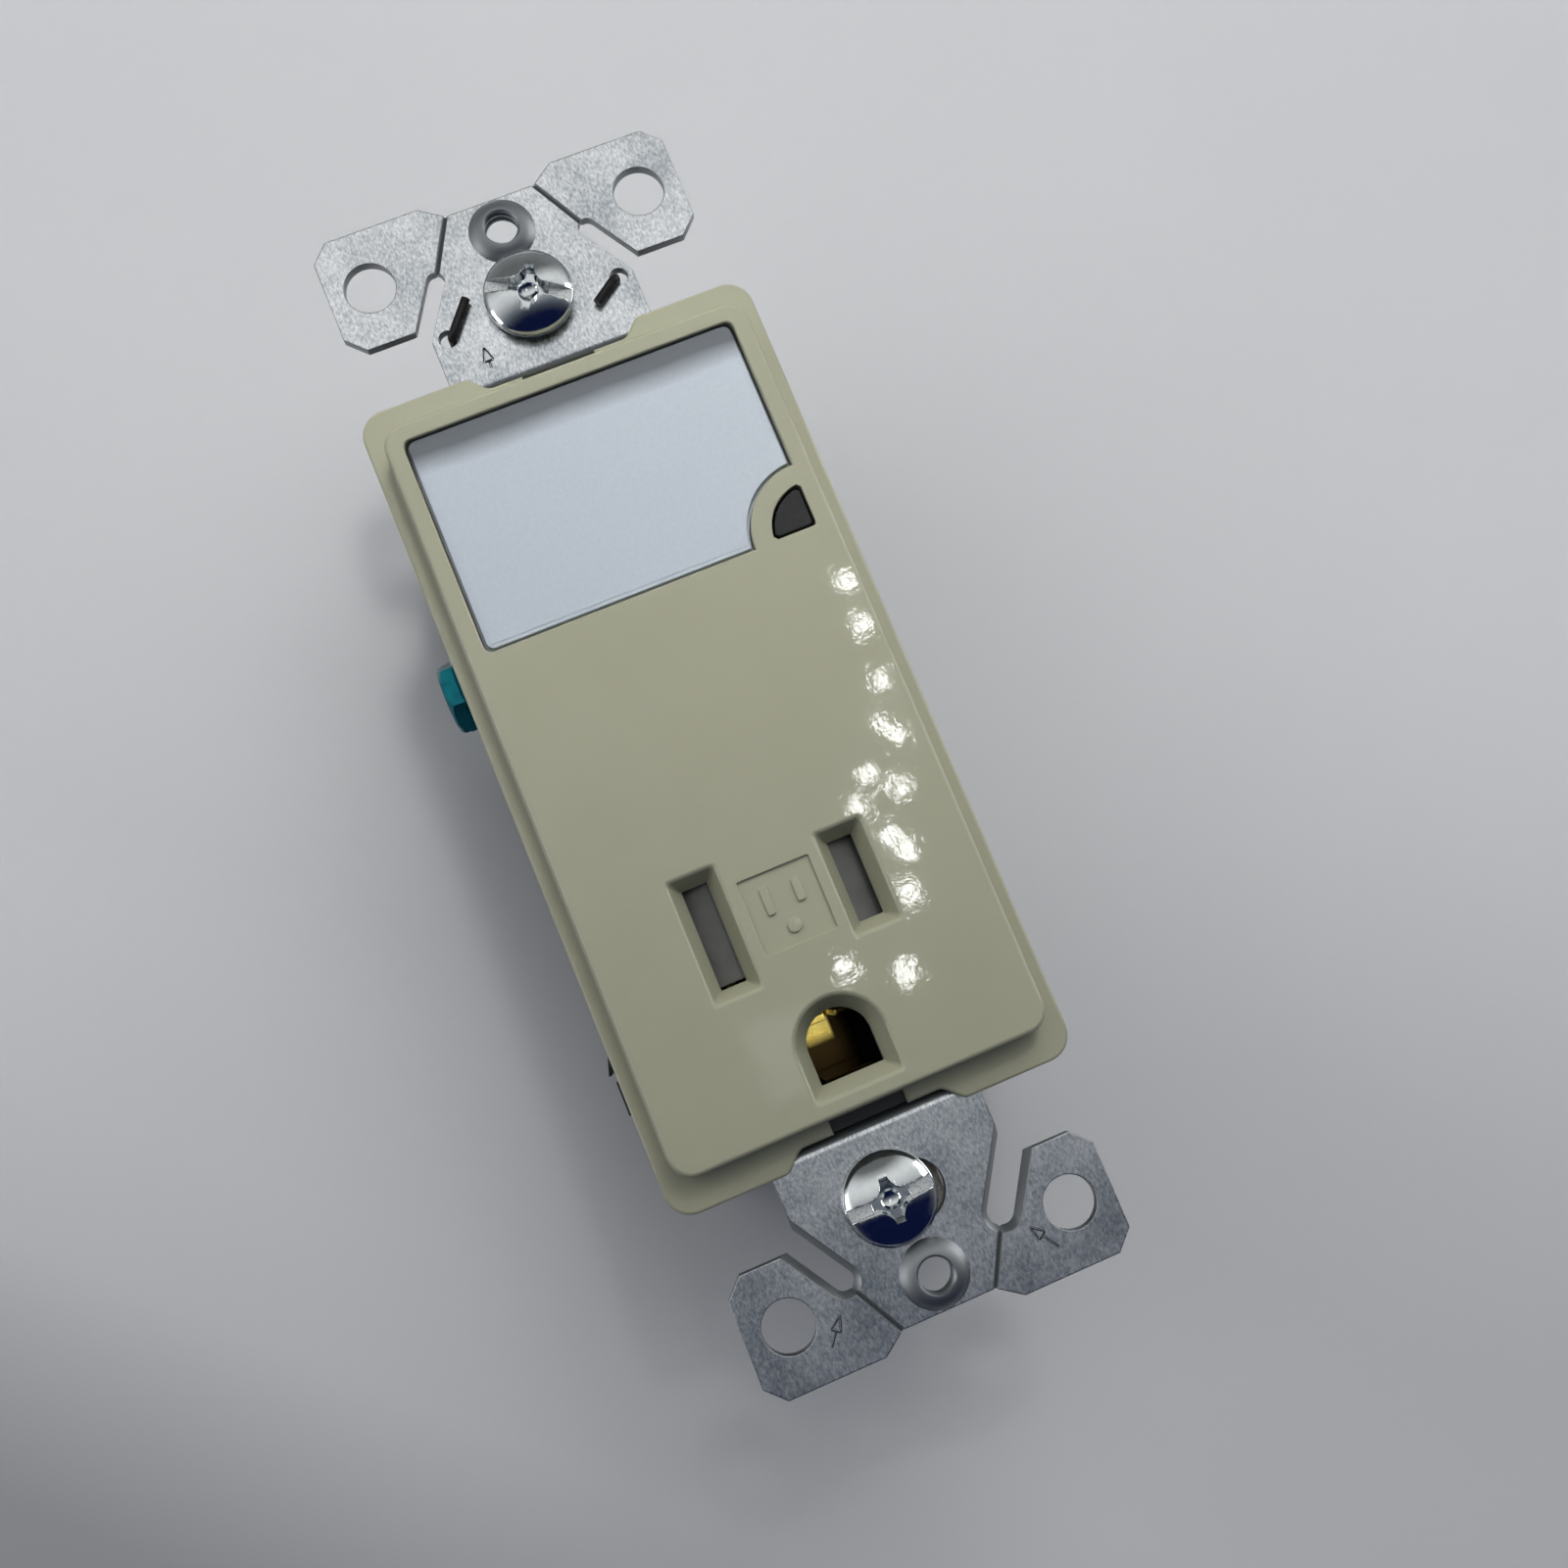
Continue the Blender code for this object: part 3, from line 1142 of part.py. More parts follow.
def make_night_light():
    """The light box under the lens, and the board that carries the light, its sensor and its supply."""
    inset = max(LENS_GAP, WINDOW_HALF_W - HOUSING_IN_W + GAP)
    outlines = [window_outline(inset), window_outline(inset + LIGHT_WALL)]
    finish(plate("light_box", outlines, BOARD_TOP + GAP, LENS_LOW - GAP), "white_plastic")

    board_x = (-HOUSING_IN_W + FIT, HOUSING_IN_W - FIT)
    board_y = (BOARD_LOW_Y, HOUSING_IN_L - FIT)
    finish(block("circuit_board", board_x, board_y, (BOARD_LOW, BOARD_TOP)), "circuit_laminate")

    level = BOARD_TOP + GAP
    for name, step in (("led_left", -1), ("led_middle", 0), ("led_right", 1)):
        x = step * LED_STEP
        lamp = block(
            name,
            (x - LED_W / 2, x + LED_W / 2),
            (LED_Y - LED_L / 2, LED_Y + LED_L / 2),
            (level, level + LED_H),
        )
        finish(bevel(lamp, LED_EDGE, segments=1), "led_package")

    reach = SENSOR_R / 2 - SENSOR_MARGIN
    pipe_low = FACE_TOP - SENSOR_RECESS - SENSOR_PIPE_L
    height = pipe_low - GAP - level
    profile = [
        (0, height),
        (PHOTO_TIP_R, height - PHOTO_TIP_H),
        (PHOTO_R, height - PHOTO_R),
        (PHOTO_R, 0),
        (0, 0),
    ]
    sensor = turned("photo_sensor", profile, (SENSOR_X - reach, SENSOR_Y + reach, level), (0, 0, 1))
    finish(sensor, "smoked_plastic")

    under = BOARD_LOW - GAP
    capacitor = block(
        "capacitor",
        (-CAPACITOR_W / 2, CAPACITOR_W / 2),
        (SUPPLY_Y - CAPACITOR_L / 2, SUPPLY_Y + CAPACITOR_L / 2),
        (under - CAPACITOR_H, under),
    )
    finish(bevel(capacitor, CAPACITOR_EDGE), "film_capacitor")
    rectifier = block(
        "rectifier",
        (RECTIFIER_X - RECTIFIER_W / 2, RECTIFIER_X + RECTIFIER_W / 2),
        (SUPPLY_Y - RECTIFIER_L / 2, SUPPLY_Y + RECTIFIER_L / 2),
        (under - RECTIFIER_H, under),
    )
    finish(bevel(rectifier, RECTIFIER_EDGE, segments=1), "black_epoxy")
    resistor = rod(
        "resistor",
        "X",
        (RESISTOR_Y, under - RESISTOR_R),
        RESISTOR_R,
        -RESISTOR_L / 2,
        RESISTOR_L / 2,
        sides=16,
    )
    finish(bevel(resistor, RESISTOR_EDGE, segments=1), "resistor_body")


def make_leads():
    """The two leads from the contacts to the board."""
    start_y = TERMINAL_Y + CONTACT_HALF_L + GAP
    leads = (("neutral_lead", -1, "white_insulation"), ("hot_lead", 1, "black_insulation"))
    for name, side, material in leads:
        x = side * LEAD_X
        low = CONTACT_BASE + BRASS_T / 2
        rise = LEAD_RUN_Z - low
        points = [
            (x, start_y, low),
            (x, start_y + 2 * LEAD_R, low),
            (x, start_y + 2 * LEAD_R + rise / 2, low + rise * LEAD_SAG),
            (x, start_y + 2 * LEAD_R + rise, LEAD_RUN_Z),
            (x, LEAD_END_Y - 2 * LEAD_R, LEAD_RUN_Z),
            (x, LEAD_END_Y - LEAD_R, LEAD_RUN_Z + LEAD_R / 2),
            (x, LEAD_END_Y, LEAD_RUN_Z + 2 * LEAD_R),
            (x, LEAD_END_Y, BOARD_LOW - GAP),
        ]
        finish(tube(name, points, LEAD_R), material)


def make_mounting_screws():
    profile = []
    for i in range(DOME_STEPS + 1):
        share = math.sin(math.pi / 2 * i / DOME_STEPS)
        profile.append((MOUNT_HEAD_R * share, MOUNT_HEAD_RIM + MOUNT_HEAD_DOME * (1 - share * share)))
    profile += [
        (MOUNT_HEAD_R, 0),
        (MOUNT_SHANK_R, 0),
        (MOUNT_SHANK_R, MOUNT_TIP - MOUNT_SCREW_L),
        (MOUNT_SHANK_R / 2, -MOUNT_SCREW_L),
        (0, -MOUNT_SCREW_L),
    ]
    places = (
        ("top", 0, MOUNT_Y, TOP_SCREW_LIFT, TOP_SLOT_ANGLE),
        ("bottom", LOWER_SCREW_SHIFT_X, LOWER_SCREW_SHIFT_Y - MOUNT_Y, 0, 0),
    )
    for end, x, y, lift, angle in places:
        seat = STRAP_TOP + GAP + lift
        screw = turned(f"{end}_mounting_screw", profile, (x, y, seat), (0, 0, 1))
        floor = MOUNT_HEAD_RIM + MOUNT_HEAD_DOME - RECESS_DEPTH
        top = MOUNT_HEAD_RIM + MOUNT_HEAD_DOME + OVER
        long, half = MOUNT_HEAD_R + OVER, RECESS_SLOT_W / 2
        slot = block(f"{end}_slot", (-long, long), (-half, half), (floor, top))
        half = RECESS_CROSS_W / 2
        cross = block(f"{end}_cross", (-half, half), (-RECESS_CROSS_L / 2, RECESS_CROSS_L / 2), (floor, top))
        for tool in (slot, cross):
            tool.location = Vector((x, y, seat)) * MM
            tool.rotation_euler.z = math.radians(angle)
        finish(cut(screw, slot, cross), "bright_zinc")

        high = STRAP_TOP - STRAP_T - GAP
        across = (x - RETAINER_HALF_W, x + RETAINER_HALF_W)
        lengthwise = (y - RETAINER_HALF_L, y + RETAINER_HALF_L)
        outline = rounded_rectangle(across, lengthwise, RETAINER_R, 3)
        hole = circle((x, y), MOUNT_SHANK_R + FIT, 16)
        retainer = plate(f"{end}_screw_retainer", [outline, hole], high - RETAINER_T, high)
        finish(retainer, "fibre_card")


def make_clip():
    """The wire that grounds the strap to the top screw, under the retainer and up through the strap."""
    above = STRAP_TOP + GAP + CLIP_R
    below = STRAP_TOP - STRAP_T - RETAINER_T - 2 * GAP - CLIP_R
    touch_y = MOUNT_Y - MOUNT_SHANK_R - CLIP_R - GAP
    points = [
        (-CLIP_END_X, MOUNT_Y + CLIP_LEFT_OUT, above),
        (-CLIP_HOLE_X, CLIP_HOLE_Y, above),
        (-CLIP_HOLE_X, CLIP_HOLE_Y, below),
        (-MOUNT_SHANK_R, touch_y, below),
        (MOUNT_SHANK_R, touch_y, below),
        (CLIP_HOLE_X, CLIP_HOLE_Y, below),
        (CLIP_HOLE_X, CLIP_HOLE_Y, above),
        (CLIP_END_X, MOUNT_Y - CLIP_RIGHT_IN, above),
    ]
    finish(tube("self_grounding_clip", points, CLIP_R), "blued_wire")


make_strap()
make_cover()
make_lens_and_sensor()
make_housing()
make_assembly_screws()
make_terminal("neutral", -1, "nickel_steel")
make_terminal("hot", 1, "brass")
make_ground()
make_shutters()
make_night_light()
make_leads()
make_mounting_screws()
make_clip()
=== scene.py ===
"""Looks of a night-light outlet: one tamper-resistant receptacle under a frosted night light, on its strap.

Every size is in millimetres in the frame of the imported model: +X right, +Y to the top end, +Z out of the
face. MM turns a size into metres when a mesh is made.
"""

import json
import logging
import math
from collections.abc import Callable, Sequence
from dataclasses import dataclass, field
from enum import Enum

import bmesh
import bpy
from mathutils import Matrix, Vector

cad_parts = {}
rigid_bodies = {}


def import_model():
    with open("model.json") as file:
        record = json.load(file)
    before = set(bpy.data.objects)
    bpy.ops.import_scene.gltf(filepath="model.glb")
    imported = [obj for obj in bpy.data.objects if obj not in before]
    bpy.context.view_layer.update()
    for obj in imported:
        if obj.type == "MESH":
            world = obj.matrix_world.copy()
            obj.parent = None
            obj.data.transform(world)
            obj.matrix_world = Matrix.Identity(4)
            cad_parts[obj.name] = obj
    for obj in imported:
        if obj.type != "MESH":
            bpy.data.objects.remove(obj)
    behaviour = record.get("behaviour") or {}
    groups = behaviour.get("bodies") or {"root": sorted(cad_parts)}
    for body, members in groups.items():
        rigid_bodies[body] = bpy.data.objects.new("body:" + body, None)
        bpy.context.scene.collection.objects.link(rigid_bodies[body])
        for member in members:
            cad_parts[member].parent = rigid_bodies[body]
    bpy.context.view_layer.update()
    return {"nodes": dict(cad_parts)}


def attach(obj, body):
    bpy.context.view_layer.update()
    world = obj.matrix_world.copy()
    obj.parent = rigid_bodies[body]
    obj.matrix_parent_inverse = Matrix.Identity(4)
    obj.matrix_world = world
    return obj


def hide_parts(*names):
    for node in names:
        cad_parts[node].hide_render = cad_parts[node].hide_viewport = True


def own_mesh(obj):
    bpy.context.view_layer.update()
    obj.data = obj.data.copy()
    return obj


for startup_object in list(bpy.data.objects):
    bpy.data.objects.remove(startup_object, do_unlink=True)
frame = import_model()

LOG = logging.getLogger("night_light_outlet")
MM = 0.001
TOUCH = 0.003  # how far a rounded lip stands above the level that it meets
OVER = 0.6  # how far a cutter runs past what it cuts
WELD = 1e-7  # metres: points of a made mesh that are closer than this become one
FRAME_WELD = 1e-6  # metres: the same for the solids of the frame
FLAT = math.radians(0.5)  # faces of a solid that differ by less than this become one flat
FLAT_WEIGHT = 80  # how far large faces set the shading, from 50 for evenly to 100
QUARTER = math.pi / 2
ENDS = (1, -1)  # signs of the two ends or sides of the strap
CORNERS = tuple((x, y) for x in ENDS for y in ENDS)
EDGE_STEPS = 4  # parts of a rounded edge
SHARPEST = 0.4  # lowest cosine at a corner that grows in full
# on the sheet the marked faces also take a darker colour, partly painted shade and dark reflection
WORKED_MARK = "worked_face"  # face attribute: a slot's floor, or sheet that was sheared or formed
PATCHES = (0.35, 0.65)  # noise between which one tone gives way to the other
GRAIN = (0.3, 0.7)  # noise between which the roughness runs from low to high
WARM = (1.0, 0.99, 0.97)  # colour of the soft lamps

Point = tuple[float, float]
Place = tuple[float, float, float]
Colour = tuple[float, float, float]
Outline = list[Point]
Ring = tuple[Outline, float]
Mesh = bpy.types.Mesh
Socket = bpy.types.NodeSocket


class Body(Enum):
    """Bodies of the frame that pieces ride on."""

    DEVICE = "device"
    NEUTRAL_SHUTTER = "neutral_shutter"
    HOT_SHUTTER = "hot_shutter"
    NEUTRAL_CLAMP = "neutral_clamp"
    NEUTRAL_SCREW = "neutral_screw"
    HOT_CLAMP = "hot_clamp"
    HOT_SCREW = "hot_screw"
    GROUND_SCREW = "ground_screw"
    TOP_SCREW = "top_mounting_screw"
    BOTTOM_SCREW = "bottom_mounting_screw"


class Operation(Enum):
    """Ways in which one mesh changes another."""

    JOIN = "UNION"
    CUT = "DIFFERENCE"
    KEEP = "INTERSECT"


class Side(Enum):
    """Sides of the device along X."""

    NEUTRAL = -1
    HOT = 1


@dataclass(frozen=True)
class Levels:
    """Heights that several sub-assemblies share."""

    strap_top: float = 28.0
    flange_low: float = 28.2
    flange_top: float = 29.0
    face_inner: float = 29.8
    lens_low: float = 29.8
    lens_top: float = 31.8
    face_top: float = 32.2


LEVELS = Levels()


class Wiring:
    """A node tree with the few moves that finishes and shape rules need."""

    def __init__(self, tree: bpy.types.NodeTree) -> None:
        """Keeps the tree that nodes are added to."""
        self.tree = tree

    def node(self, kind: str, **settings: object) -> bpy.types.Node:
        """Adds a node.

        Args:
            kind: Blender's name of the node type.
            settings: Properties of the node to set.

        Returns:
            The new node.
        """
        made = self.tree.nodes.new(kind)
        for key, value in settings.items():
            setattr(made, key, value)
        return made

    def feed(self, source: Socket | float, target: Socket) -> None:
        """Links a socket to an input, or sets the input to a number.

        Args:
            source: An output socket, or a plain value.
            target: The input that takes it.
        """
        if isinstance(source, bpy.types.NodeSocket):
            self.tree.links.new(source, target)
        else:
            target.default_value = source

    def math(self, operation: str, first: Socket | float, second: Socket | float = 0.0) -> Socket:
        """Adds one step of arithmetic.

        Args:
            operation: Blender's name of the step.
            first: Its first value.
            second: Its second value.

        Returns:
            The socket with the result.
        """
        made = self.node("ShaderNodeMath", operation=operation)
        self.feed(first, made.inputs[0])
        self.feed(second, made.inputs[1])
        return made.outputs[0]

    def spread(
        self, value: Socket, start: Socket | float, end: Socket | float, low: float = 0.0, high: float = 1.0
    ) -> Socket:
        """Maps a range of values to another and holds it at both ends.

        Args:
            value: The value to map.
            start: Value that gives low.
            end: Value that gives high.
            low: Result at the start.
            high: Result at the end.

        Returns:
            The socket with the mapped value.
        """
        made = self.node("ShaderNodeMapRange", clamp=True)
        for source, target in zip((value, start, end, low, high), made.inputs):
            self.feed(source, target)
        return made.outputs["Result"]

    def ramp(self, value: Socket, stops: Sequence[tuple[float, Colour]]) -> Socket:
        """Runs through colours as a value grows.

        Args:
            value: The value.
            stops: Values in order, each with its colour.

        Returns:
            The socket with the colour.
        """
        made = self.node("ShaderNodeValToRGB")
        low, high = stops[0][0], stops[-1][0]
        self.feed(self.spread(value, low, high), made.inputs[0])
        elements = made.color_ramp.elements
        while len(elements) < len(stops):
            elements.new(0.5)
        for element, (at, colour) in zip(elements, stops):
            element.position = (at - low) / (high - low)
            element.color = (*colour, 1.0)
        return made.outputs[0]

    def blend(self, share: Socket, first: Colour | Socket, second: Colour | Socket) -> Socket:
        """Mixes two colours.

        Args:
            share: How much of the second colour shows.
            first: Colour at share 0.
            second: Colour at share 1.

        Returns:
            The socket with the colour.
        """
        made = self.node("ShaderNodeMix", data_type="RGBA")
        self.feed(share, made.inputs[0])
        for source, target in ((first, made.inputs[6]), (second, made.inputs[7])):
            self.feed(source if isinstance(source, bpy.types.NodeSocket) else (*source, 1.0), target)
        return made.outputs[2]


class Graph(Wiring):
    """A material's nodes, on the piece's own coordinates."""

    def __init__(self, name: str) -> None:
        """Makes a material with a plain shader to wire up.

        Args:
            name: Name of the material.
        """
        self.material = bpy.data.materials.new(name)
        self.material.use_nodes = True
        super().__init__(self.material.node_tree)
        self.shader = self.tree.nodes["Principled BSDF"]
        self.here = self.node("ShaderNodeTexCoord").outputs["Object"]

    def noise(self, size: float, detail: float = 2.0, stretch: Place = (1.0, 1.0, 1.0)) -> Socket:
        """Soft noise from 0 to 1.

        Args:
            size: Size of its features in millimetres.
            detail: Number of finer layers.
            stretch: How many times denser the features are along each axis.

        Returns:
            The socket with the noise.
        """
        mapping = self.node("ShaderNodeMapping")
        mapping.inputs["Scale"].default_value = [share / (size * MM) for share in stretch]
        self.feed(self.here, mapping.inputs["Vector"])
        noise = self.node("ShaderNodeTexNoise")
        noise.inputs["Scale"].default_value = 1.0
        noise.inputs["Detail"].default_value = detail
        self.feed(mapping.outputs["Vector"], noise.inputs["Vector"])
        return noise.outputs["Fac"]

    def axes(self) -> bpy.types.NodeOutputs:
        """The piece's own coordinates.

        Returns:
            The sockets X, Y and Z, in metres.
        """
        apart = self.node("ShaderNodeSeparateXYZ")
        self.feed(self.here, apart.inputs[0])
        return apart.outputs

    def bump(self, height: Socket, depth: float, below: Socket | None = None) -> Socket:
        """Turns a height into a relief.

        Args:
            height: Height from 0 to 1.
            depth: Depth of the relief in millimetres.
            below: A relief that this one lies on.

        Returns:
            The socket with the normal.
        """
        made = self.node("ShaderNodeBump")
        made.inputs["Distance"].default_value = depth * MM
        self.feed(height, made.inputs["Height"])
        if below is not None:
            self.feed(below, made.inputs["Normal"])
        return made.outputs["Normal"]


@dataclass(frozen=True)
class Finish:
    """A surface with patches of tone, uneven gloss, a fine grain and a slow wave."""

    slot: str
    colour: Colour
    tone: Colour
    tone_size: float = 3.0
    roughness: tuple[float, float] = (0.3, 0.4)
    metallic: float = 0.0
    ior: float = 1.48
    coat: float = 0.0
    grain_size: float = 0.25
    grain_depth: float = 0.004
    wave_size: float = 3.0
    wave_depth: float = 0.0
    stretch: Place = (1.0, 1.0, 1.0)

    def colours(self, graph: Graph) -> Socket:
        """Patches of the second tone."""
        patches = graph.noise(self.tone_size, 3.0, self.stretch)
        return graph.blend(graph.spread(patches, *PATCHES), self.colour, self.tone)

    def gloss(self, graph: Graph, grain: Socket) -> Socket:
        """Roughness that follows the grain."""
        return graph.spread(grain, *GRAIN, *self.roughness)

    def material(self) -> bpy.types.Material:
        """Makes the finish's material once.

        Returns:
            The material.
        """
        name = f"{self.slot}_{type(self).__name__.lower()}"
        known = bpy.data.materials.get(name)
        if known is not None:
            return known
        graph = Graph(name)
        shader = graph.shader.inputs
        graph.feed(self.colours(graph), shader["Base Color"])
        grain = graph.noise(self.grain_size, 3.0, self.stretch)
        graph.feed(self.gloss(graph, grain), shader["Roughness"])
        shader["Metallic"].default_value = self.metallic
        shader["IOR"].default_value = self.ior
        shader["Coat Weight"].default_value = self.coat
        relief = None
        if self.wave_depth:
            relief = graph.bump(graph.noise(self.wave_size, 1.0), self.wave_depth)
        graph.feed(graph.bump(grain, self.grain_depth, relief), shader["Normal"])
        return graph.material


@dataclass(frozen=True)
class WorkedZinc(Finish):
    """Plating that is rougher and of another colour on the faces that a tool has worked."""

    # as the sheet uses it, this darker colour is partly duller worked metal and partly painted shade and dark
    # reflection on rolled edges, bevels and collars
    worked_colour: Colour = (0.33, 0.345, 0.355)
    worked_roughness: float = 0.5

    def worked(self, graph: Graph) -> Socket:
        """How much a face carries the mark of a tool."""
        return graph.node("ShaderNodeAttribute", attribute_name=WORKED_MARK).outputs["Fac"]

    def gloss(self, graph: Graph, grain: Socket) -> Socket:
        """Roughness that follows the grain, and more of it on worked faces."""
        rough = graph.math("MULTIPLY", self.worked(graph), self.worked_roughness)
        return graph.math("MAXIMUM", super().gloss(graph, grain), rough)


@dataclass(frozen=True)
class SheetZinc(WorkedZinc):
    """Plated sheet with fine crystals over broad, cloudy patches."""

    crystal_size: float = 0.22
    crystal_limits: Point = (0.64, 1.06)
    cloud_share: float = 0.7

    def colours(self, graph: Graph) -> Socket:
        """Crystals over patches, with the worked faces in a darker colour that is partly duller worked metal
        and partly painted shade and dark reflection on rolled edges, bevels and collars.

        Args:
            graph: The material's nodes.

        Returns:
            The socket with the colour.
        """
        crystals = graph.noise(self.crystal_size, 4.0, self.stretch)
        clouds = graph.math("MULTIPLY", graph.noise(self.tone_size, 3.0), self.cloud_share)
        mixed = graph.math("ADD", crystals, clouds)
        plated = graph.blend(graph.spread(mixed, *self.crystal_limits), self.colour, self.tone)
        return graph.blend(self.worked(graph), plated, self.worked_colour)


@dataclass(frozen=True)
class DriveZinc(WorkedZinc):
    """Bright plating with pale specks on the worked floor of a drive slot."""

    speck_size: float = 0.16
    speck_limits: Point = (0.38, 0.48)

    def colours(self, graph: Graph) -> Socket:
        """Patches of tone, with pale specks on the floor.

        Args:
            graph: The material's nodes.

        Returns:
            The socket with the colour.
        """
        specks = graph.spread(graph.noise(self.speck_size, 3.0), *self.speck_limits)
        share = graph.math("MULTIPLY", self.worked(graph), specks)
        return graph.blend(share, super().colours(graph), self.worked_colour)


@dataclass(frozen=True)
class FrostedPanel(Finish):
    """Frosted panel that darkens where the window's top wall keeps the light off it."""

    shade: Colour = (0.13, 0.145, 0.162)
    shade_y: Point = (28.3, 30.3)
    swing: float = 1.0
    swing_size: float = 5.0

    def colours(self, graph: Graph) -> Socket:
        """A soft shade below the window's top wall.

        Args:
            graph: The material's nodes.

        Returns:
            The socket with the colour.
        """
        waver = graph.noise(self.swing_size, 3.0, (0.5, 1.0, 1.0))
        level = graph.math("ADD", graph.axes()["Y"], graph.math("MULTIPLY", waver, self.swing * MM))
        start, end = ((at + self.swing / 2) * MM for at in self.shade_y)
        return graph.blend(graph.spread(level, start, end), super().colours(graph), self.shade)


@dataclass(frozen=True)
class SocketBrass(Finish):
    """Brass with painted shade: dark all over except on the patch that the light of the ground hole reaches.
    """

    # painted shade of the deep ground hole, where little light reaches the brass
    painted_hole_shade: Colour = (0.04, 0.025, 0.009)
    lit: tuple[Point, Point] = ((-1.6, 0.75), (-28.6, -25.4))
    lit_edge: float = 0.25

    def colours(self, graph: Graph) -> Socket:
        """Bare brass on the lit patch, painted shade round it.

        Args:
            graph: The material's nodes.

        Returns:
            The socket with the colour.
        """
        axes = graph.axes()
        (left, right), (low, high) = self.lit
        edge = self.lit_edge
        inside = [
            graph.spread(axes["X"], (left - edge) * MM, left * MM),
            graph.spread(axes["X"], right * MM, (right + edge) * MM, 1.0, 0.0),
            graph.spread(axes["Y"], low * MM, (low + 4 * edge) * MM),
            graph.spread(axes["Y"], high * MM, (high + edge) * MM, 1.0, 0.0),
        ]
        share = inside[0]
        for other in inside[1:]:
            share = graph.math("MULTIPLY", share, other)
        return graph.blend(share, self.painted_hole_shade, super().colours(graph))


@dataclass(frozen=True)
class GradedFloor(Finish):
    """A pale floor with a painted shadow that darkens it towards one corner of the picture."""

    # direction on the floor in which the painted shadow deepens
    heading: Point = (-0.7, -0.71)
    # levels of the painted shadow by distance along the heading, in millimetres
    stops: tuple[tuple[float, float], ...] = (
        (5.0, 0.8), (25.0, 0.83), (36.0, 0.88), (53.0, 0.92),
        (67.0, 0.91), (89.0, 0.55), (130.0, 0.55), (320.0, 0.9),
    )

    def colours(self, graph: Graph) -> Socket:
        """The pale floor, with the painted shadow darker towards the corner.

        Args:
            graph: The material's nodes.

        Returns:
            The socket with the colour.
        """
        axes = graph.axes()
        parts = [graph.math("MULTIPLY", axes[name], share / MM) for name, share in zip("XY", self.heading)]
        # painted shadow: the floor's colour scaled down by the stops
        fall = graph.ramp(graph.math("ADD", *parts), [(at, (level,) * 3) for at, level in self.stops])
        return graph.blend(fall, (0.0, 0.0, 0.0), super().colours(graph))


ALMOND = Finish(
    "almond_plastic", (0.405, 0.406, 0.295), (0.393, 0.394, 0.285), 6.0, (0.02, 0.035), ior=1.5,
    grain_size=0.45, grain_depth=0.002, wave_size=2.2, wave_depth=0.007,
)
FROSTED = FrostedPanel(
    "frosted_lens", (0.505, 0.56, 0.622), (0.53, 0.585, 0.647), 0.35, (0.34, 0.46),
    grain_size=0.16, grain_depth=0.012,
)
SMOKED = Finish(
    "smoked_plastic", (0.017, 0.0175, 0.0185), (0.022, 0.022, 0.023), 1.0, (0.16, 0.24), ior=1.36,
    grain_depth=0.001,
)
ZINC_SHEET = SheetZinc(
    "zinc_steel", (0.42, 0.455, 0.485), (0.92, 0.935, 0.945), 5.0, (0.22, 0.34), 1.0,
    grain_size=0.5, grain_depth=0.003, stretch=(1.2, 0.6, 1.0),
)
BRIGHT_ZINC = DriveZinc(
    "bright_zinc", (0.69, 0.715, 0.72), (0.61, 0.64, 0.65), 1.6, (0.08, 0.16), 1.0,
    grain_size=0.5, grain_depth=0.003, worked_colour=(0.94, 0.945, 0.93), worked_roughness=0.55,
)
BLACK = Finish(
    "black_plastic", (0.012, 0.012, 0.013), (0.02, 0.02, 0.021), 4.0, (0.36, 0.5),
    grain_size=0.18, grain_depth=0.008,
)
FIBRE = Finish(
    "fibre_card", (0.34, 0.33, 0.30), (0.22, 0.20, 0.17), 0.5, (0.6, 0.8), grain_size=0.3,
    grain_depth=0.03, stretch=(1.0, 3.0, 1.0),
)
BLUED = Finish(
    "blued_wire", (0.006, 0.006, 0.007), (0.018, 0.016, 0.016), 0.6, (0.3, 0.45), 0.3, grain_depth=0.003
)
GREEN_ZINC = Finish(
    "green_zinc", (0.0, 0.12, 0.16), (0.0, 0.17, 0.21), 1.2, (0.16, 0.28), 0.85, coat=0.1,
    grain_size=0.4, grain_depth=0.004,
)
NICKEL = Finish(
    "nickel_steel", (0.62, 0.60, 0.55), (0.54, 0.52, 0.47), 1.5, (0.2, 0.34), 1.0, grain_depth=0.004
)
BRASS = Finish(
    "brass", (0.78, 0.52, 0.17), (0.66, 0.42, 0.13), 1.2, (0.16, 0.3), 1.0, grain_size=0.2,
    grain_depth=0.003, stretch=(1.0, 1.0, 0.3),
)
# the ground contact's brass, with painted shade outside the patch that the light reaches
SOCKET_BRASS = SocketBrass(
    "brass", (1.0, 0.80, 0.20), (0.95, 0.70, 0.16), 1.2, (0.12, 0.22), 1.0, grain_size=0.2, grain_depth=0.003
)
GREY = Finish(
    "grey_plastic", (0.11, 0.114, 0.105), (0.135, 0.138, 0.128), 2.0, (0.32, 0.46), grain_depth=0.003
)
WHITE = Finish(
    "white_plastic", (0.78, 0.78, 0.76), (0.72, 0.72, 0.70), 3.0, (0.4, 0.55), grain_depth=0.004
)
SPRING = Finish(
    "spring_steel", (0.50, 0.50, 0.51), (0.42, 0.42, 0.44), 0.4, (0.2, 0.32), 1.0, grain_depth=0.001
)
LAMINATE = Finish(
    "circuit_laminate", (0.012, 0.13, 0.05), (0.02, 0.20, 0.08), 1.3, (0.28, 0.4), coat=0.4,
    grain_size=0.3, grain_depth=0.006,
)
PHOSPHOR = Finish(
    "led_package", (0.80, 0.70, 0.30), (0.82, 0.78, 0.55), 0.8, (0.3, 0.45), grain_depth=0.002
)
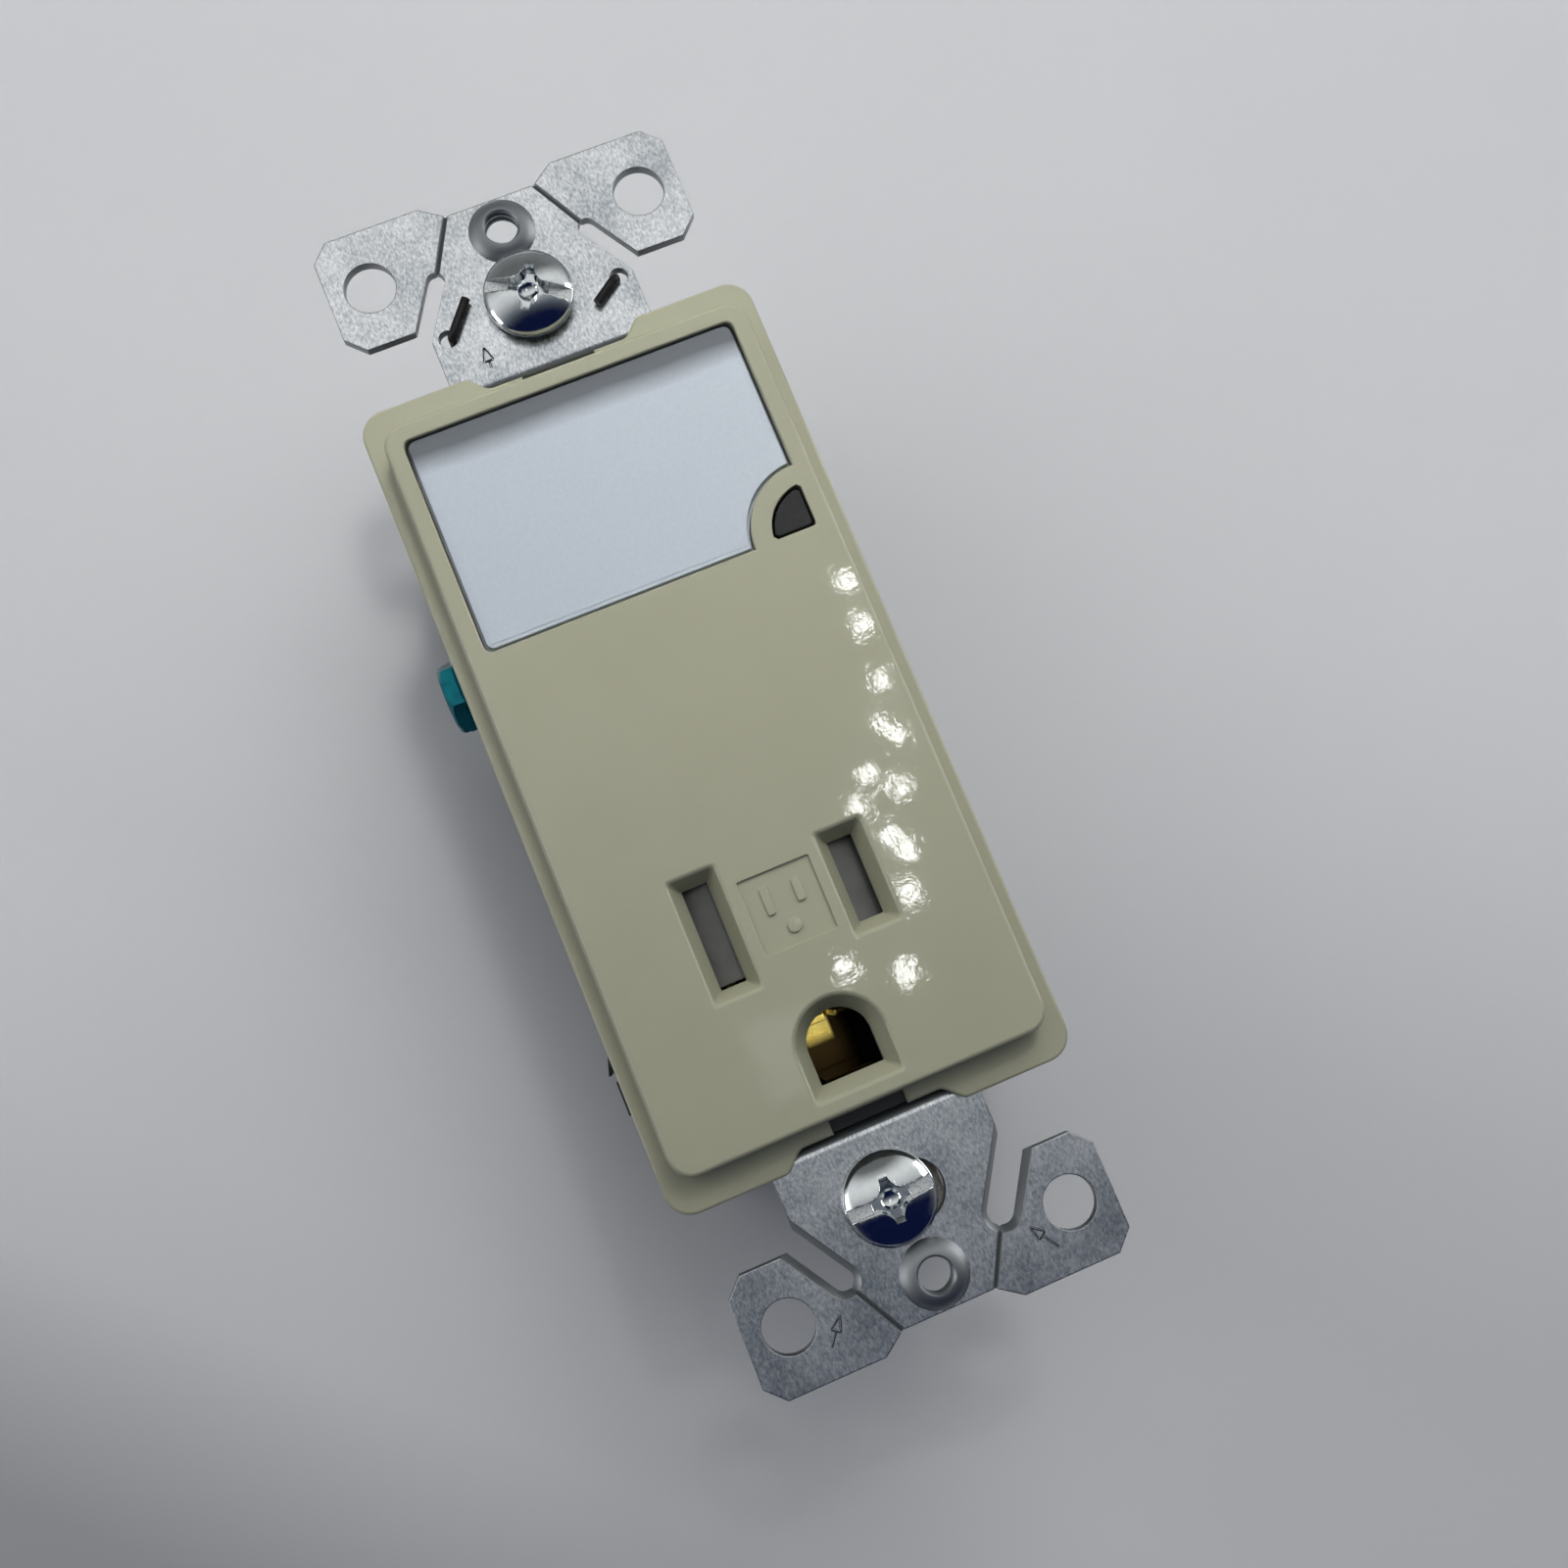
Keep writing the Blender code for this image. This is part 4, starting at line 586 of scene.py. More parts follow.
FILM = Finish(
    "film_capacitor", (0.34, 0.09, 0.03), (0.28, 0.07, 0.02), 1.5, (0.15, 0.3), coat=0.6,
    wave_size=2.0, wave_depth=0.03,
)
EPOXY = Finish(
    "black_epoxy", (0.018, 0.018, 0.018), (0.026, 0.026, 0.027), 1.0, (0.45, 0.6), grain_depth=0.008
)
LACQUER = Finish(
    "resistor_body", (0.16, 0.28, 0.38), (0.20, 0.33, 0.43), 1.0, (0.25, 0.4), coat=0.3, grain_depth=0.003
)
WHITE_LEAD = Finish(
    "white_insulation", (0.70, 0.70, 0.68), (0.63, 0.63, 0.60), 2.0, (0.4, 0.55), grain_depth=0.004
)
BLACK_LEAD = Finish(
    "black_insulation", (0.018, 0.018, 0.018), (0.028, 0.028, 0.028), 2.0, (0.4, 0.55), grain_depth=0.004
)


def arc(centre: Point, radius: float, start: float, end: float, steps: int = 8) -> Outline:
    """Points on an arc from one angle to another in degrees, both ends included."""
    angles = [math.radians(start + (end - start) * i / steps) for i in range(steps + 1)]
    return [(centre[0] + radius * math.cos(a), centre[1] + radius * math.sin(a)) for a in angles]


def circle(centre: Point, radius: float, sides: int = 64) -> Outline:
    """A closed circle of points."""
    return arc(centre, radius, 0.0, 360.0 * (sides - 1) / sides, sides - 1)


def rounded_rectangle(x: Point, y: Point, radius: float, steps: int = 6) -> Outline:
    """A rectangle with round corners.

    Args:
        x: Its limits across.
        y: Its limits upwards.
        radius: Radius of the corners.
        steps: Parts of each corner.

    Returns:
        The outline, counter-clockwise.
    """
    (x0, x1), (y0, y1) = x, y
    return (
        arc((x1 - radius, y0 + radius), radius, -90.0, 0.0, steps)
        + arc((x1 - radius, y1 - radius), radius, 0.0, 90.0, steps)
        + arc((x0 + radius, y1 - radius), radius, 90.0, 180.0, steps)
        + arc((x0 + radius, y0 + radius), radius, 180.0, 270.0, steps)
    )


def stadium(start: Vector, end: Vector, width: float, steps: int = 16) -> Outline:
    """A slot with round ends.

    Args:
        start: Centre of one end.
        end: Centre of the other end.
        width: Width of the slot.
        steps: Parts of each end.

    Returns:
        The outline, counter-clockwise.
    """
    heading = math.degrees(math.atan2(end[1] - start[1], end[0] - start[0]))
    half = width / 2
    first = arc(end, half, heading - 90.0, heading + 90.0, steps)
    return first + arc(start, half, heading + 90.0, heading + 270.0, steps)


def strip(points: Sequence[Point], width: float) -> Outline:
    """A band of even width along a line.

    Args:
        points: The line.
        width: Width of the band.

    Returns:
        The outline of the band.
    """
    left, right = [], []
    for i, point in enumerate(points):
        here = Vector(point)
        before = (here - Vector(points[i - 1])).normalized() if i else None
        after = (Vector(points[i + 1]) - here).normalized() if i + 1 < len(points) else None
        before = before or after
        after = after or before
        mitre = Vector((-(before.y + after.y), before.x + after.x)).normalized()
        reach = width / 2 / mitre.dot(Vector((-before.y, before.x)))
        left.append(tuple(here + mitre * reach))
        right.append(tuple(here - mitre * reach))
    return right + left[::-1]


def quarter(steps: int) -> list[float]:
    """The angles of a quarter turn in equal parts, both ends included."""
    return [QUARTER * i / steps for i in range(steps + 1)]


def eased(start: float | Vector, pull: float | Vector, end: float | Vector, share: float) -> float | Vector:
    """What lies at a share of the soft bend from start to end that a third value pulls on."""
    return (1 - share) ** 2 * start + 2 * share * (1 - share) * pull + share * share * end


def grown(outline: Outline, distance: float) -> Outline:
    """Moves every side of a closed outline outwards, or inwards for a negative distance.

    Args:
        outline: The outline.
        distance: How far its sides move.

    Returns:
        The new outline, with as many points.
    """
    count = len(outline)
    area = sum(outline[i - 1][0] * y - x * outline[i - 1][1] for i, (x, y) in enumerate(outline))
    turn = math.copysign(distance, area * distance) if distance else 0.0
    points = []
    for i, (x, y) in enumerate(outline):
        here = Vector((x, y))
        first = (here - Vector(outline[i - 1])).normalized()
        second = (Vector(outline[(i + 1) % count]) - here).normalized()
        normal = Vector((first.y + second.y, -first.x - second.x)).normalized()
        reach = turn / max(SHARPEST, normal.dot(Vector((first.y, -first.x))))
        points.append((x + normal.x * reach, y + normal.y * reach))
    return points


def linked(name: str, data: bpy.types.ID) -> bpy.types.Object:
    """Adds an object to the scene.

    Args:
        name: Name of the object.
        data: Its mesh, curve, camera or lamp.

    Returns:
        The object.
    """
    made = bpy.data.objects.new(name, data)
    bpy.context.scene.collection.objects.link(made)
    return made


def plain(bm: bmesh.types.BMesh) -> Mesh:
    """Turns an edited mesh into a plain one.

    Args:
        bm: The edited mesh, which is used up.

    Returns:
        The plain mesh.
    """
    mesh = bpy.data.meshes.new("shape")
    bm.to_mesh(mesh)
    bm.free()
    return mesh


def mesh_from(bm: bmesh.types.BMesh) -> Mesh:
    """Turns an edited mesh into a plain one with its faces outwards."""
    bmesh.ops.recalc_face_normals(bm, faces=bm.faces)
    return plain(bm)


def moved(mesh: Mesh, spot: Place, turn: Matrix = Matrix()) -> Mesh:
    """Turns a mesh and takes its origin to a place in millimetres."""
    mesh.transform(Matrix.Translation(Vector(spot) * MM) @ turn)
    return mesh


def loft(rings: Sequence[Ring]) -> Mesh:
    """Joins rings of equal counts and closes both ends.

    Args:
        rings: Outlines with their heights.

    Returns:
        The closed mesh.
    """
    bm = bmesh.new()
    loops = [[bm.verts.new((x * MM, y * MM, z * MM)) for x, y in outline] for outline, z in rings]
    for lower, upper in zip(loops, loops[1:]):
        for i in range(len(lower)):
            bm.faces.new((lower[i - 1], lower[i], upper[i], upper[i - 1]))
    bm.faces.new(reversed(loops[0]))
    bm.faces.new(loops[-1])
    return mesh_from(bm)


def plate(
    outline: Outline,
    low: float,
    high: float,
    low_edge: float = 0.0,
    high_edge: float = 0.0,
    roll: float = 1.0,
) -> Mesh:
    """A flat outline with a thickness and round edges.

    Args:
        outline: Its widest outline.
        low: Level of its underside.
        high: Level of its top.
        low_edge: Radius of the lower edge.
        high_edge: Height of the upper edge's rounding.
        roll: How many times wider than high that rounding is.

    Returns:
        The closed mesh.
    """
    angles = quarter(EDGE_STEPS)
    rings = [(outline, low)]
    if low_edge:
        rings = [
            (grown(outline, low_edge * (math.sin(a) - 1)), low + low_edge * (1 - math.cos(a))) for a in angles
        ]
    if high_edge:
        wide = high_edge * roll
        rings += [
            (grown(outline, wide * (math.cos(a) - 1)), high - high_edge * (1 - math.sin(a))) for a in angles
        ]
    else:
        rings.append((outline, high))
    return loft(rings)


def opening(outline: Outline, low: float, high: float, lip: float, roll: float = 1.0) -> Mesh:
    """A cutter with straight walls and a rounded lip at its top level.

    Args:
        outline: The walls.
        low: Where the cutter starts.
        high: Level of the surface that it opens.
        lip: Height of the lip.
        roll: How many times wider than high the lip is.

    Returns:
        The cutter.
    """
    rings = [(outline, low)]
    for a in quarter(EDGE_STEPS):
        rings.append((grown(outline, lip * roll * (1 - math.cos(a))), high + TOUCH - lip * (1 - math.sin(a))))
    rings.append((grown(outline, lip * roll), high + OVER))
    return loft(rings)


def revolve(profile: Sequence[Point], steps: int = 72) -> Mesh:
    """Turns a profile of (radius, height) about the Z axis.

    Args:
        profile: Points that start and end on the axis.
        steps: Parts of the full turn.

    Returns:
        The closed mesh.
    """
    bm = bmesh.new()
    verts = [bm.verts.new((radius * MM, 0.0, height * MM)) for radius, height in profile]
    edges = [bm.edges.new(pair) for pair in zip(verts, verts[1:])]
    bmesh.ops.spin(
        bm, geom=verts + edges, cent=(0, 0, 0), axis=(0, 0, 1), angle=2 * math.pi, steps=steps, use_merge=True
    )
    bmesh.ops.remove_doubles(bm, verts=bm.verts, dist=WELD)
    return mesh_from(bm)


def joined(meshes: Sequence[Mesh]) -> Mesh:
    """Puts several meshes into one, without joining their surfaces.

    Args:
        meshes: The meshes, which are used up.

    Returns:
        The one mesh.
    """
    bm = bmesh.new()
    for mesh in meshes:
        bm.from_mesh(mesh)
        bpy.data.meshes.remove(mesh)
    return plain(bm)


def evaluated(source: bpy.types.ID, *changes: Callable[[bpy.types.Object], object]) -> Mesh:
    """A mesh as modifiers leave it, or a curve as a mesh.

    Args:
        source: The mesh or curve, which is used up.
        changes: Steps that each add a modifier to the object that holds it.

    Returns:
        The new plain mesh.
    """
    holder = linked("holder", source)
    for change in changes:
        change(holder)
    bpy.context.view_layer.update()
    graph = bpy.context.evaluated_depsgraph_get()
    made = bpy.data.meshes.new_from_object(holder.evaluated_get(graph), depsgraph=graph)
    bpy.data.batch_remove((holder, source))
    return made


def combined(base: Mesh, operation: Operation, tools: Sequence[Mesh], overlapping: bool = False) -> Mesh:
    """Changes one mesh by others.

    Args:
        base: The mesh to change, which is used up.
        operation: What the others do to it.
        tools: The others, which are used up.
        overlapping: True where the tools run into each other.

    Returns:
        The new mesh.
    """
    tool = linked("tool", joined(tools))

    def change(holder: bpy.types.Object) -> None:
        """Adds the Boolean.

        Args:
            holder: The object that gets the modifier.
        """
        modifier = holder.modifiers.new("combine", "BOOLEAN")
        modifier.operation = operation.value
        modifier.solver = "EXACT"
        modifier.use_self = overlapping
        modifier.object = tool

    made = evaluated(base, change)
    bpy.data.batch_remove((tool, tool.data))
    return made


def shaded(mesh: Mesh, edge: float = 0.0, sharp: float = 38.0) -> Mesh:
    """Rounds edges if asked, then smooths curves while large flats stay flat.

    Args:
        mesh: The mesh, which is used up.
        edge: Width of the rounding on its sharp edges, in millimetres.
        sharp: Angle in degrees above which an edge stays sharp.

    Returns:
        The new mesh.
    """

    def soften(holder: bpy.types.Object) -> None:
        """Adds the rounding.

        Args:
            holder: The object that gets the modifier.
        """
        modifier = holder.modifiers.new("soften", "BEVEL")
        modifier.width = edge * MM
        modifier.segments = 2
        modifier.limit_method = "ANGLE"
        modifier.angle_limit = math.radians(sharp)

    def weigh(holder: bpy.types.Object) -> None:
        """Lets large faces set the shading.

        Args:
            holder: The object that gets the modifier.
        """
        modifier = holder.modifiers.new("weigh", "WEIGHTED_NORMAL")
        modifier.weight = FLAT_WEIGHT
        modifier.keep_sharp = True

    if edge:
        mesh = evaluated(mesh, soften)
    mesh.polygons.foreach_set("use_smooth", [True] * len(mesh.polygons))
    mesh.set_sharp_from_angle(angle=math.radians(sharp))
    return evaluated(mesh, weigh)


def worked(mesh: Mesh, test: Callable[[bpy.types.MeshPolygon], bool]) -> Mesh:
    """Marks the faces that a tool has worked, for finishes that show it.

    Args:
        mesh: The mesh to mark.
        test: Tells whether a face was worked.

    Returns:
        The same mesh.
    """
    marks = mesh.attributes.new(WORKED_MARK, "FLOAT", "FACE")
    marks.data.foreach_set("value", [float(test(face)) for face in mesh.polygons])
    return mesh


def from_node(node: str) -> Mesh:
    """A welded copy of a solid of the frame, with its flat faces whole again.

    Args:
        node: Name of the solid.

    Returns:
        The copy.
    """
    bm = bmesh.new()
    bm.from_mesh(frame["nodes"][node].data)
    bmesh.ops.remove_doubles(bm, verts=bm.verts, dist=FRAME_WELD)
    bmesh.ops.dissolve_limit(bm, angle_limit=FLAT, verts=bm.verts, edges=bm.edges)
    return plain(bm)


def place(name: str, mesh: Mesh, finish: Finish, body: Body, *nodes: str) -> bpy.types.Object:
    """Adds a finished piece to the object.

    Args:
        name: Name of the piece.
        mesh: Its mesh, in place.
        finish: Its surface.
        body: The body that it rides on.
        nodes: Solids of the frame that it stands for.

    Returns:
        The piece.
    """
    mesh.name = name
    mesh.materials.clear()
    mesh.materials.append(finish.material())
    mesh.polygons.foreach_set("material_index", [0] * len(mesh.polygons))
    piece = linked(name, mesh)
    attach(piece, body.value)
    if nodes:
        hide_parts(*nodes)
    LOG.info("%s: %d faces on %s", name, len(mesh.polygons), body.value)
    return piece


def soften_node(node: str, name: str, finish: Finish, body: Body, edge: float) -> bpy.types.Object:
    """Replaces a solid of the frame by a copy with its edges rounded to a width in millimetres."""
    return place(name, shaded(from_node(node), edge), finish, body, node)


class ShapeRule(Wiring):
    """A Geometry Nodes tree that makes a mesh from named sizes."""

    def __init__(self, name: str) -> None:
        """Starts a tree with an output for its geometry.

        Args:
            name: Name of the tree.
        """
        super().__init__(bpy.data.node_groups.new(name, "GeometryNodeTree"))
        self.tree.interface.new_socket("Geometry", in_out="OUTPUT", socket_type="NodeSocketGeometry")
        self.tree.interface.new_socket("Geometry", in_out="INPUT", socket_type="NodeSocketGeometry")
        self.inputs = self.node("NodeGroupInput")
        self.sockets: dict[str, str] = {}

    def size(self, name: str, kind: str = "NodeSocketFloat") -> Socket:
        """Adds a named input.

        Args:
            name: Name of the input.
            kind: Blender's name of the socket type.

        Returns:
            The socket inside the tree.
        """
        made = self.tree.interface.new_socket(name, in_out="INPUT", socket_type=kind)
        self.sockets[name] = made.identifier
        return self.inputs.outputs[name]

    def end(self, geometry: Socket) -> None:
        """Closes the tree with real geometry and one material.

        Args:
            geometry: What the tree has made.
        """
        real = self.node("GeometryNodeRealizeInstances")
        self.feed(geometry, real.inputs["Geometry"])
        finish = self.node("GeometryNodeSetMaterial")
        self.feed(real.outputs["Geometry"], finish.inputs["Geometry"])
        self.feed(self.size("Material", "NodeSocketMaterial"), finish.inputs["Material"])
        output = self.node("NodeGroupOutput")
        self.feed(finish.outputs["Geometry"], output.inputs["Geometry"])

    def mesh(self, base: Mesh | None = None, **sizes: object) -> Mesh:
        """Runs the tree.

        Args:
            base: The mesh that goes in, which is used up, or none for an empty one.
            sizes: Values of the inputs, with spaces in their names as underscores.

        Returns:
            The mesh that comes out.
        """

        def change(holder: bpy.types.Object) -> None:
            """Adds the tree with its sizes.

            Args:
                holder: The object that gets the modifier.
            """
            modifier = holder.modifiers.new("rule", "NODES")
            modifier.node_group = self.tree
            for name, value in sizes.items():
                modifier[self.sockets[name.replace("_", " ")]] = value

        return evaluated(base or bpy.data.meshes.new("shape"), change)


class ThreadRule(ShapeRule):
    """A shank whose radius follows a thread, with a tapered tip at its lower end."""

    def __init__(self) -> None:
        """Builds the tree."""
        super().__init__("threaded_shank")
        radius, length, pitch = self.size("Radius"), self.size("Length"), self.size("Pitch")
        depth, tip = self.size("Depth"), self.size("Tip")
        sides, per_turn, tip_share = 28, 8.0, 0.6
        rod = self.node("GeometryNodeMeshCylinder", fill_type="NGON")
        rod.inputs["Vertices"].default_value = sides
        segments = self.math("MULTIPLY", self.math("DIVIDE", length, pitch), per_turn)
        for source, name in ((segments, "Side Segments"), (radius, "Radius"), (length, "Depth")):
            self.feed(source, rod.inputs[name])
        apart = self.node("ShaderNodeSeparateXYZ")
        self.feed(self.node("GeometryNodeInputPosition").outputs[0], apart.inputs[0])
        x, y, z = apart.outputs
        turn = self.math("DIVIDE", self.math("ARCTAN2", y, x), 2 * math.pi)
        phase = self.math("SUBTRACT", self.math("DIVIDE", z, pitch), turn)
        wave = self.math("MULTIPLY", self.math("PINGPONG", phase, 0.5), 2.0)
        cut = self.math("DIVIDE", self.math("MULTIPLY", wave, depth), radius)
        low = self.math("MULTIPLY", length, -0.5)
        taper = self.spread(z, low, self.math("ADD", low, tip), tip_share)
        share = self.math("MULTIPLY", self.math("SUBTRACT", 1.0, cut), taper)
        spot = self.node("ShaderNodeCombineXYZ")
        values = (self.math("MULTIPLY", x, share), self.math("MULTIPLY", y, share), z)
        for source, target in zip(values, spot.inputs):
            self.feed(source, target)
        shaped = self.node("GeometryNodeSetPosition")
        self.feed(rod.outputs["Mesh"], shaped.inputs["Geometry"])
        self.feed(spot.outputs[0], shaped.inputs["Position"])
        self.end(shaped.outputs["Geometry"])

    def rod(
        self, radius: float, length: float, pitch: float, depth: float, tip: float, finish: Finish
    ) -> Mesh:
        """A threaded rod round the origin, with its sizes in millimetres."""
        sizes = {"Radius": radius, "Length": length, "Pitch": pitch, "Depth": depth, "Tip": tip}
        return self.mesh(**{name: size * MM for name, size in sizes.items()}, Material=finish.material())


class CoilRule(ShapeRule):
    """A coil spring along Z."""

    def __init__(self) -> None:
        """Builds the tree."""
        super().__init__("coil_spring")
        radius, height, turns = self.size("Radius"), self.size("Height"), self.size("Turns")
        per_turn, wire_sides = 24, 10
        spiral = self.node("GeometryNodeCurveSpiral")
        spiral.inputs["Resolution"].default_value = per_turn
        sockets = ((turns, "Rotations"), (radius, "Start Radius"), (radius, "End Radius"), (height, "Height"))
        for source, name in sockets:
            self.feed(source, spiral.inputs[name])
        wire = self.node("GeometryNodeCurvePrimitiveCircle")
        wire.inputs["Resolution"].default_value = wire_sides
        self.feed(self.size("Wire"), wire.inputs["Radius"])
        swept = self.node("GeometryNodeCurveToMesh")
        swept.inputs["Fill Caps"].default_value = True
        self.feed(spiral.outputs["Curve"], swept.inputs["Curve"])
        self.feed(wire.outputs["Curve"], swept.inputs["Profile Curve"])
        self.end(swept.outputs["Mesh"])


class FastenerGridRule(ShapeRule):
    """Copies of a fastener on the corners of a rectangle."""

    def __init__(self) -> None:
        """Builds the tree."""
        super().__init__("fastener_grid")
        grid = self.node("GeometryNodeMeshGrid")
        for name in ("Vertices X", "Vertices Y"):
            grid.inputs[name].default_value = 2
        for name in ("Size X", "Size Y"):
            self.feed(self.size(name), grid.inputs[name])
        spots = self.node("GeometryNodeMeshToPoints")
        self.feed(grid.outputs["Mesh"], spots.inputs["Mesh"])
        copies = self.node("GeometryNodeInstanceOnPoints")
        self.feed(spots.outputs["Points"], copies.inputs["Points"])
        self.feed(self.inputs.outputs["Geometry"], copies.inputs["Instance"])
        self.end(copies.outputs["Instances"])


@dataclass
class CoverMoulding:
    """The almond cover: flange, raised face, window, blade and ground mouths."""

    face_w: float = 16.5
    face_l: float = 33.4
    face_r: float = 2.0
    face_edge: float = 0.42
    draft: float = 0.06
    foot: float = 0.3
    flange_w: float = 18.0
    flange_l: float = 36.4
    flange_r: float = 2.3
    flange_edge: float = 0.3
    flange_low_edge: float = 0.1
    notch_out: float = 8.2
    notch_in: float = 6.0
    notch_depth: float = 1.5
    gap_w: float = 3.3
    top_gap: float = 0.3
    window: tuple[Point, Point] = ((-14.85, 14.85), (12.3, 31.75))
    window_r: float = 0.7
    window_lip: float = 0.22
    web_r: float = 5.7
    sensor_r: float = 3.9
    sensor_margin: float = 0.1
    sensor_soft: float = 0.3
    sensor_lip: float = 0.14
    neutral_slot: tuple[Point, Point] = ((-7.42, -5.17), (-20.55, -11.85))
    hot_slot: tuple[Point, Point] = ((5.26, 7.44), (-19.7, -12.65))
    slot_corner: Point = (0.12, 0.3)
    flare: float = 1.0
    flare_depth: float = 2.0
    mouth_lip: float = 0.3
    pin_half: float = 2.77
    pin_y: Point = (-30.8, -25.25)
    pin_corner: Point = (0.15, 0.25)
    pin_flare: float = 1.1
    mark: tuple[Point, Point] = ((-3.05, 3.25), (-19.4, -13.0))
    mark_depth: float = 0.3
    mark_r: float = 0.15
    mark_lip: float = 0.1
    emblem_root: float = 0.1
    emblem_drop: float = 0.06
    emblem_edge: float = 0.08
    emblem_parts: tuple[tuple[Point, Point, float, int], ...] = (
        ((-1.7, -1.0), (-0.3, 2.1), 0.2, 3),
        ((1.0, 1.7), (-0.1, 1.9), 0.2, 3),
        ((-0.6, 0.6), (-2.3, -1.1), 0.5, 6),
    )
    cavity: Point = (15.0, 31.9)
    posts: tuple[Point, ...] = ((-12.2, -29.9), (12.2, -29.9), (-12.2, 6.0), (12.2, 6.0))
    boss_r: float = 2.0
    boss_low: float = 19.2
    pilot_r: float = 1.35
    pilot_top: float = 26.2

    def flange_outline(self) -> Outline:
        """The flange with the relief that each end has over the strap.

        Returns:
            The outline, counter-clockwise.
        """
        steps, rise = 12, self.flange_l - self.notch_depth
        sweep = []
        for i in range(steps + 1):
            share = i / steps
            x = self.notch_in + (self.notch_out - self.notch_in) * share
            sweep.append((x, rise + self.notch_depth * (1 - math.cos(math.pi * share)) / 2))
        corner = (self.flange_w - self.flange_r, self.flange_l - self.flange_r)
        low = [(self.gap_w, -self.face_l + OVER), (self.gap_w, -rise)] + [(x, -y) for x, y in sweep]
        low += arc((corner[0], -corner[1]), self.flange_r, -90.0, 0.0, 10)
        high = arc(corner, self.flange_r, 0.0, 90.0, 10) + sweep[::-1]
        high += [(self.gap_w, rise), (self.gap_w, rise - self.top_gap)]
        right = low + high
        return right + [(-x, y) for x, y in reversed(right)]

    def window_outline(self, inset: float) -> Outline:
        """The window, whose lower right corner gives way to the sensor's web.

        Args:
            inset: How far inside the window the outline runs.

        Returns:
            The outline, counter-clockwise.
        """
        (x0, x1), (y0, y1) = self.window
        centre, web, r = (x1, y0), self.web_r + inset, self.window_r
        x0, x1, y0, y1 = x0 + inset, x1 - inset, y0 + inset, y1 - inset
        start = 180.0 - math.degrees(math.asin(inset / web))
        end = math.degrees(math.acos(-inset / web))
        bend = arc(centre, web, start, end, 20)
        return (
            bend
            + arc((x1 - r, y1 - r), r, 0.0, 90.0, 5)
            + arc((x0 + r, y1 - r), r, 90.0, 180.0, 5)
            + arc((x0 + r, y0 + r), r, 180.0, 270.0, 5)
        )

    def sensor_outline(self, inset: float) -> Outline:
        """The quarter disc of the light sensor's window.

        Args:
            inset: How far inside its hole the outline runs.

        Returns:
            The outline, counter-clockwise.
        """
        centre = (self.window[0][1], self.window[1][0])
        margin, radius, soft = self.sensor_margin + inset, self.sensor_r - inset, self.sensor_soft
        corner = (centre[0] - margin, centre[1] + margin)
        tilt = math.degrees(math.asin((margin + soft) / radius))
        ends = math.degrees(math.asin(margin / radius))
        reach = (radius - soft) * math.cos(math.radians(ends))
        return (
            [(corner[0] - soft, corner[1]), (corner[0] - soft * 0.3, corner[1] + soft * 0.3)]
            + [(corner[0], corner[1] + soft), (corner[0], centre[1] + reach)]
            + arc(centre, radius, 90.0 + tilt, 180.0 - tilt, 16)
            + [(centre[0] - reach, corner[1])]
        )

    def mouth(self, outline_at: Callable[[float], Outline], flare: float) -> Mesh:
        """A cutter with straight walls, a funnel above them and a rounded rim.

        Args:
            outline_at: Gives the outline at a distance outside the straight walls.
            flare: How far the funnel opens.

        Returns:
            The cutter.
        """
        top, lip, steps = LEVELS.face_top + TOUCH, self.mouth_lip, 6
        slope = flare / self.flare_depth
        start, edge, end = (flare - lip * slope, -lip), (flare, 0.0), (flare + lip, 0.0)
        rings = [
            (outline_at(0.0), LEVELS.face_inner - OVER),
            (outline_at(0.0), top - self.flare_depth),
        ]
        for i in range(steps + 1):
            grow, z = (eased(*values, i / steps) for values in zip(start, edge, end))
            rings.append((outline_at(grow), top + z))
        rings.append((outline_at(flare + lip), top + OVER))
        return loft(rings)

    def slot_outline(self, slot: tuple[Point, Point], grow: float) -> Outline:
        """A blade slot's outline, with corners that round off towards the rim."""
        (x0, x1), (y0, y1), (radius, growth) = *slot, self.slot_corner
        return rounded_rectangle((x0 - grow, x1 + grow), (y0 - grow, y1 + grow), radius + growth * grow, 4)

    def pin_outline(self, grow: float) -> Outline:
        """The ground hole's outline: flat below and round above.

        Args:
            grow: How far outside the straight walls the outline runs.

        Returns:
            The outline, counter-clockwise.
        """
        half, (low, high), (radius, growth) = self.pin_half + grow, self.pin_y, self.pin_corner
        middle, soft = high - self.pin_half, radius + growth * grow
        low -= grow
        return (
            arc((half - soft, low + soft), soft, -90.0, 0.0, 4)
            + arc((0.0, middle), half, 0.0, 180.0, 32)
            + arc((soft - half, low + soft), soft, 180.0, 270.0, 4)
        )

    def face_body(self) -> Mesh:
        """The raised face with its drafted walls, rounded edge and foot.

        Returns:
            The closed mesh.
        """
        outline = rounded_rectangle((-self.face_w, self.face_w), (-self.face_l, self.face_l), self.face_r, 10)
        angles = quarter(6)
        base, top, foot, edge = LEVELS.flange_top - TOUCH, LEVELS.face_top, self.foot, self.face_edge
        rings = [(grown(outline, foot), LEVELS.flange_low + OVER / 2)]
        rings += [(grown(outline, foot * (1 - math.sin(a))), base + foot * (1 - math.cos(a))) for a in angles]
        for a in angles:
            inset = self.draft + edge * (1 - math.cos(a))
            rings.append((grown(outline, -inset), top - edge * (1 - math.sin(a))))
        return loft(rings)

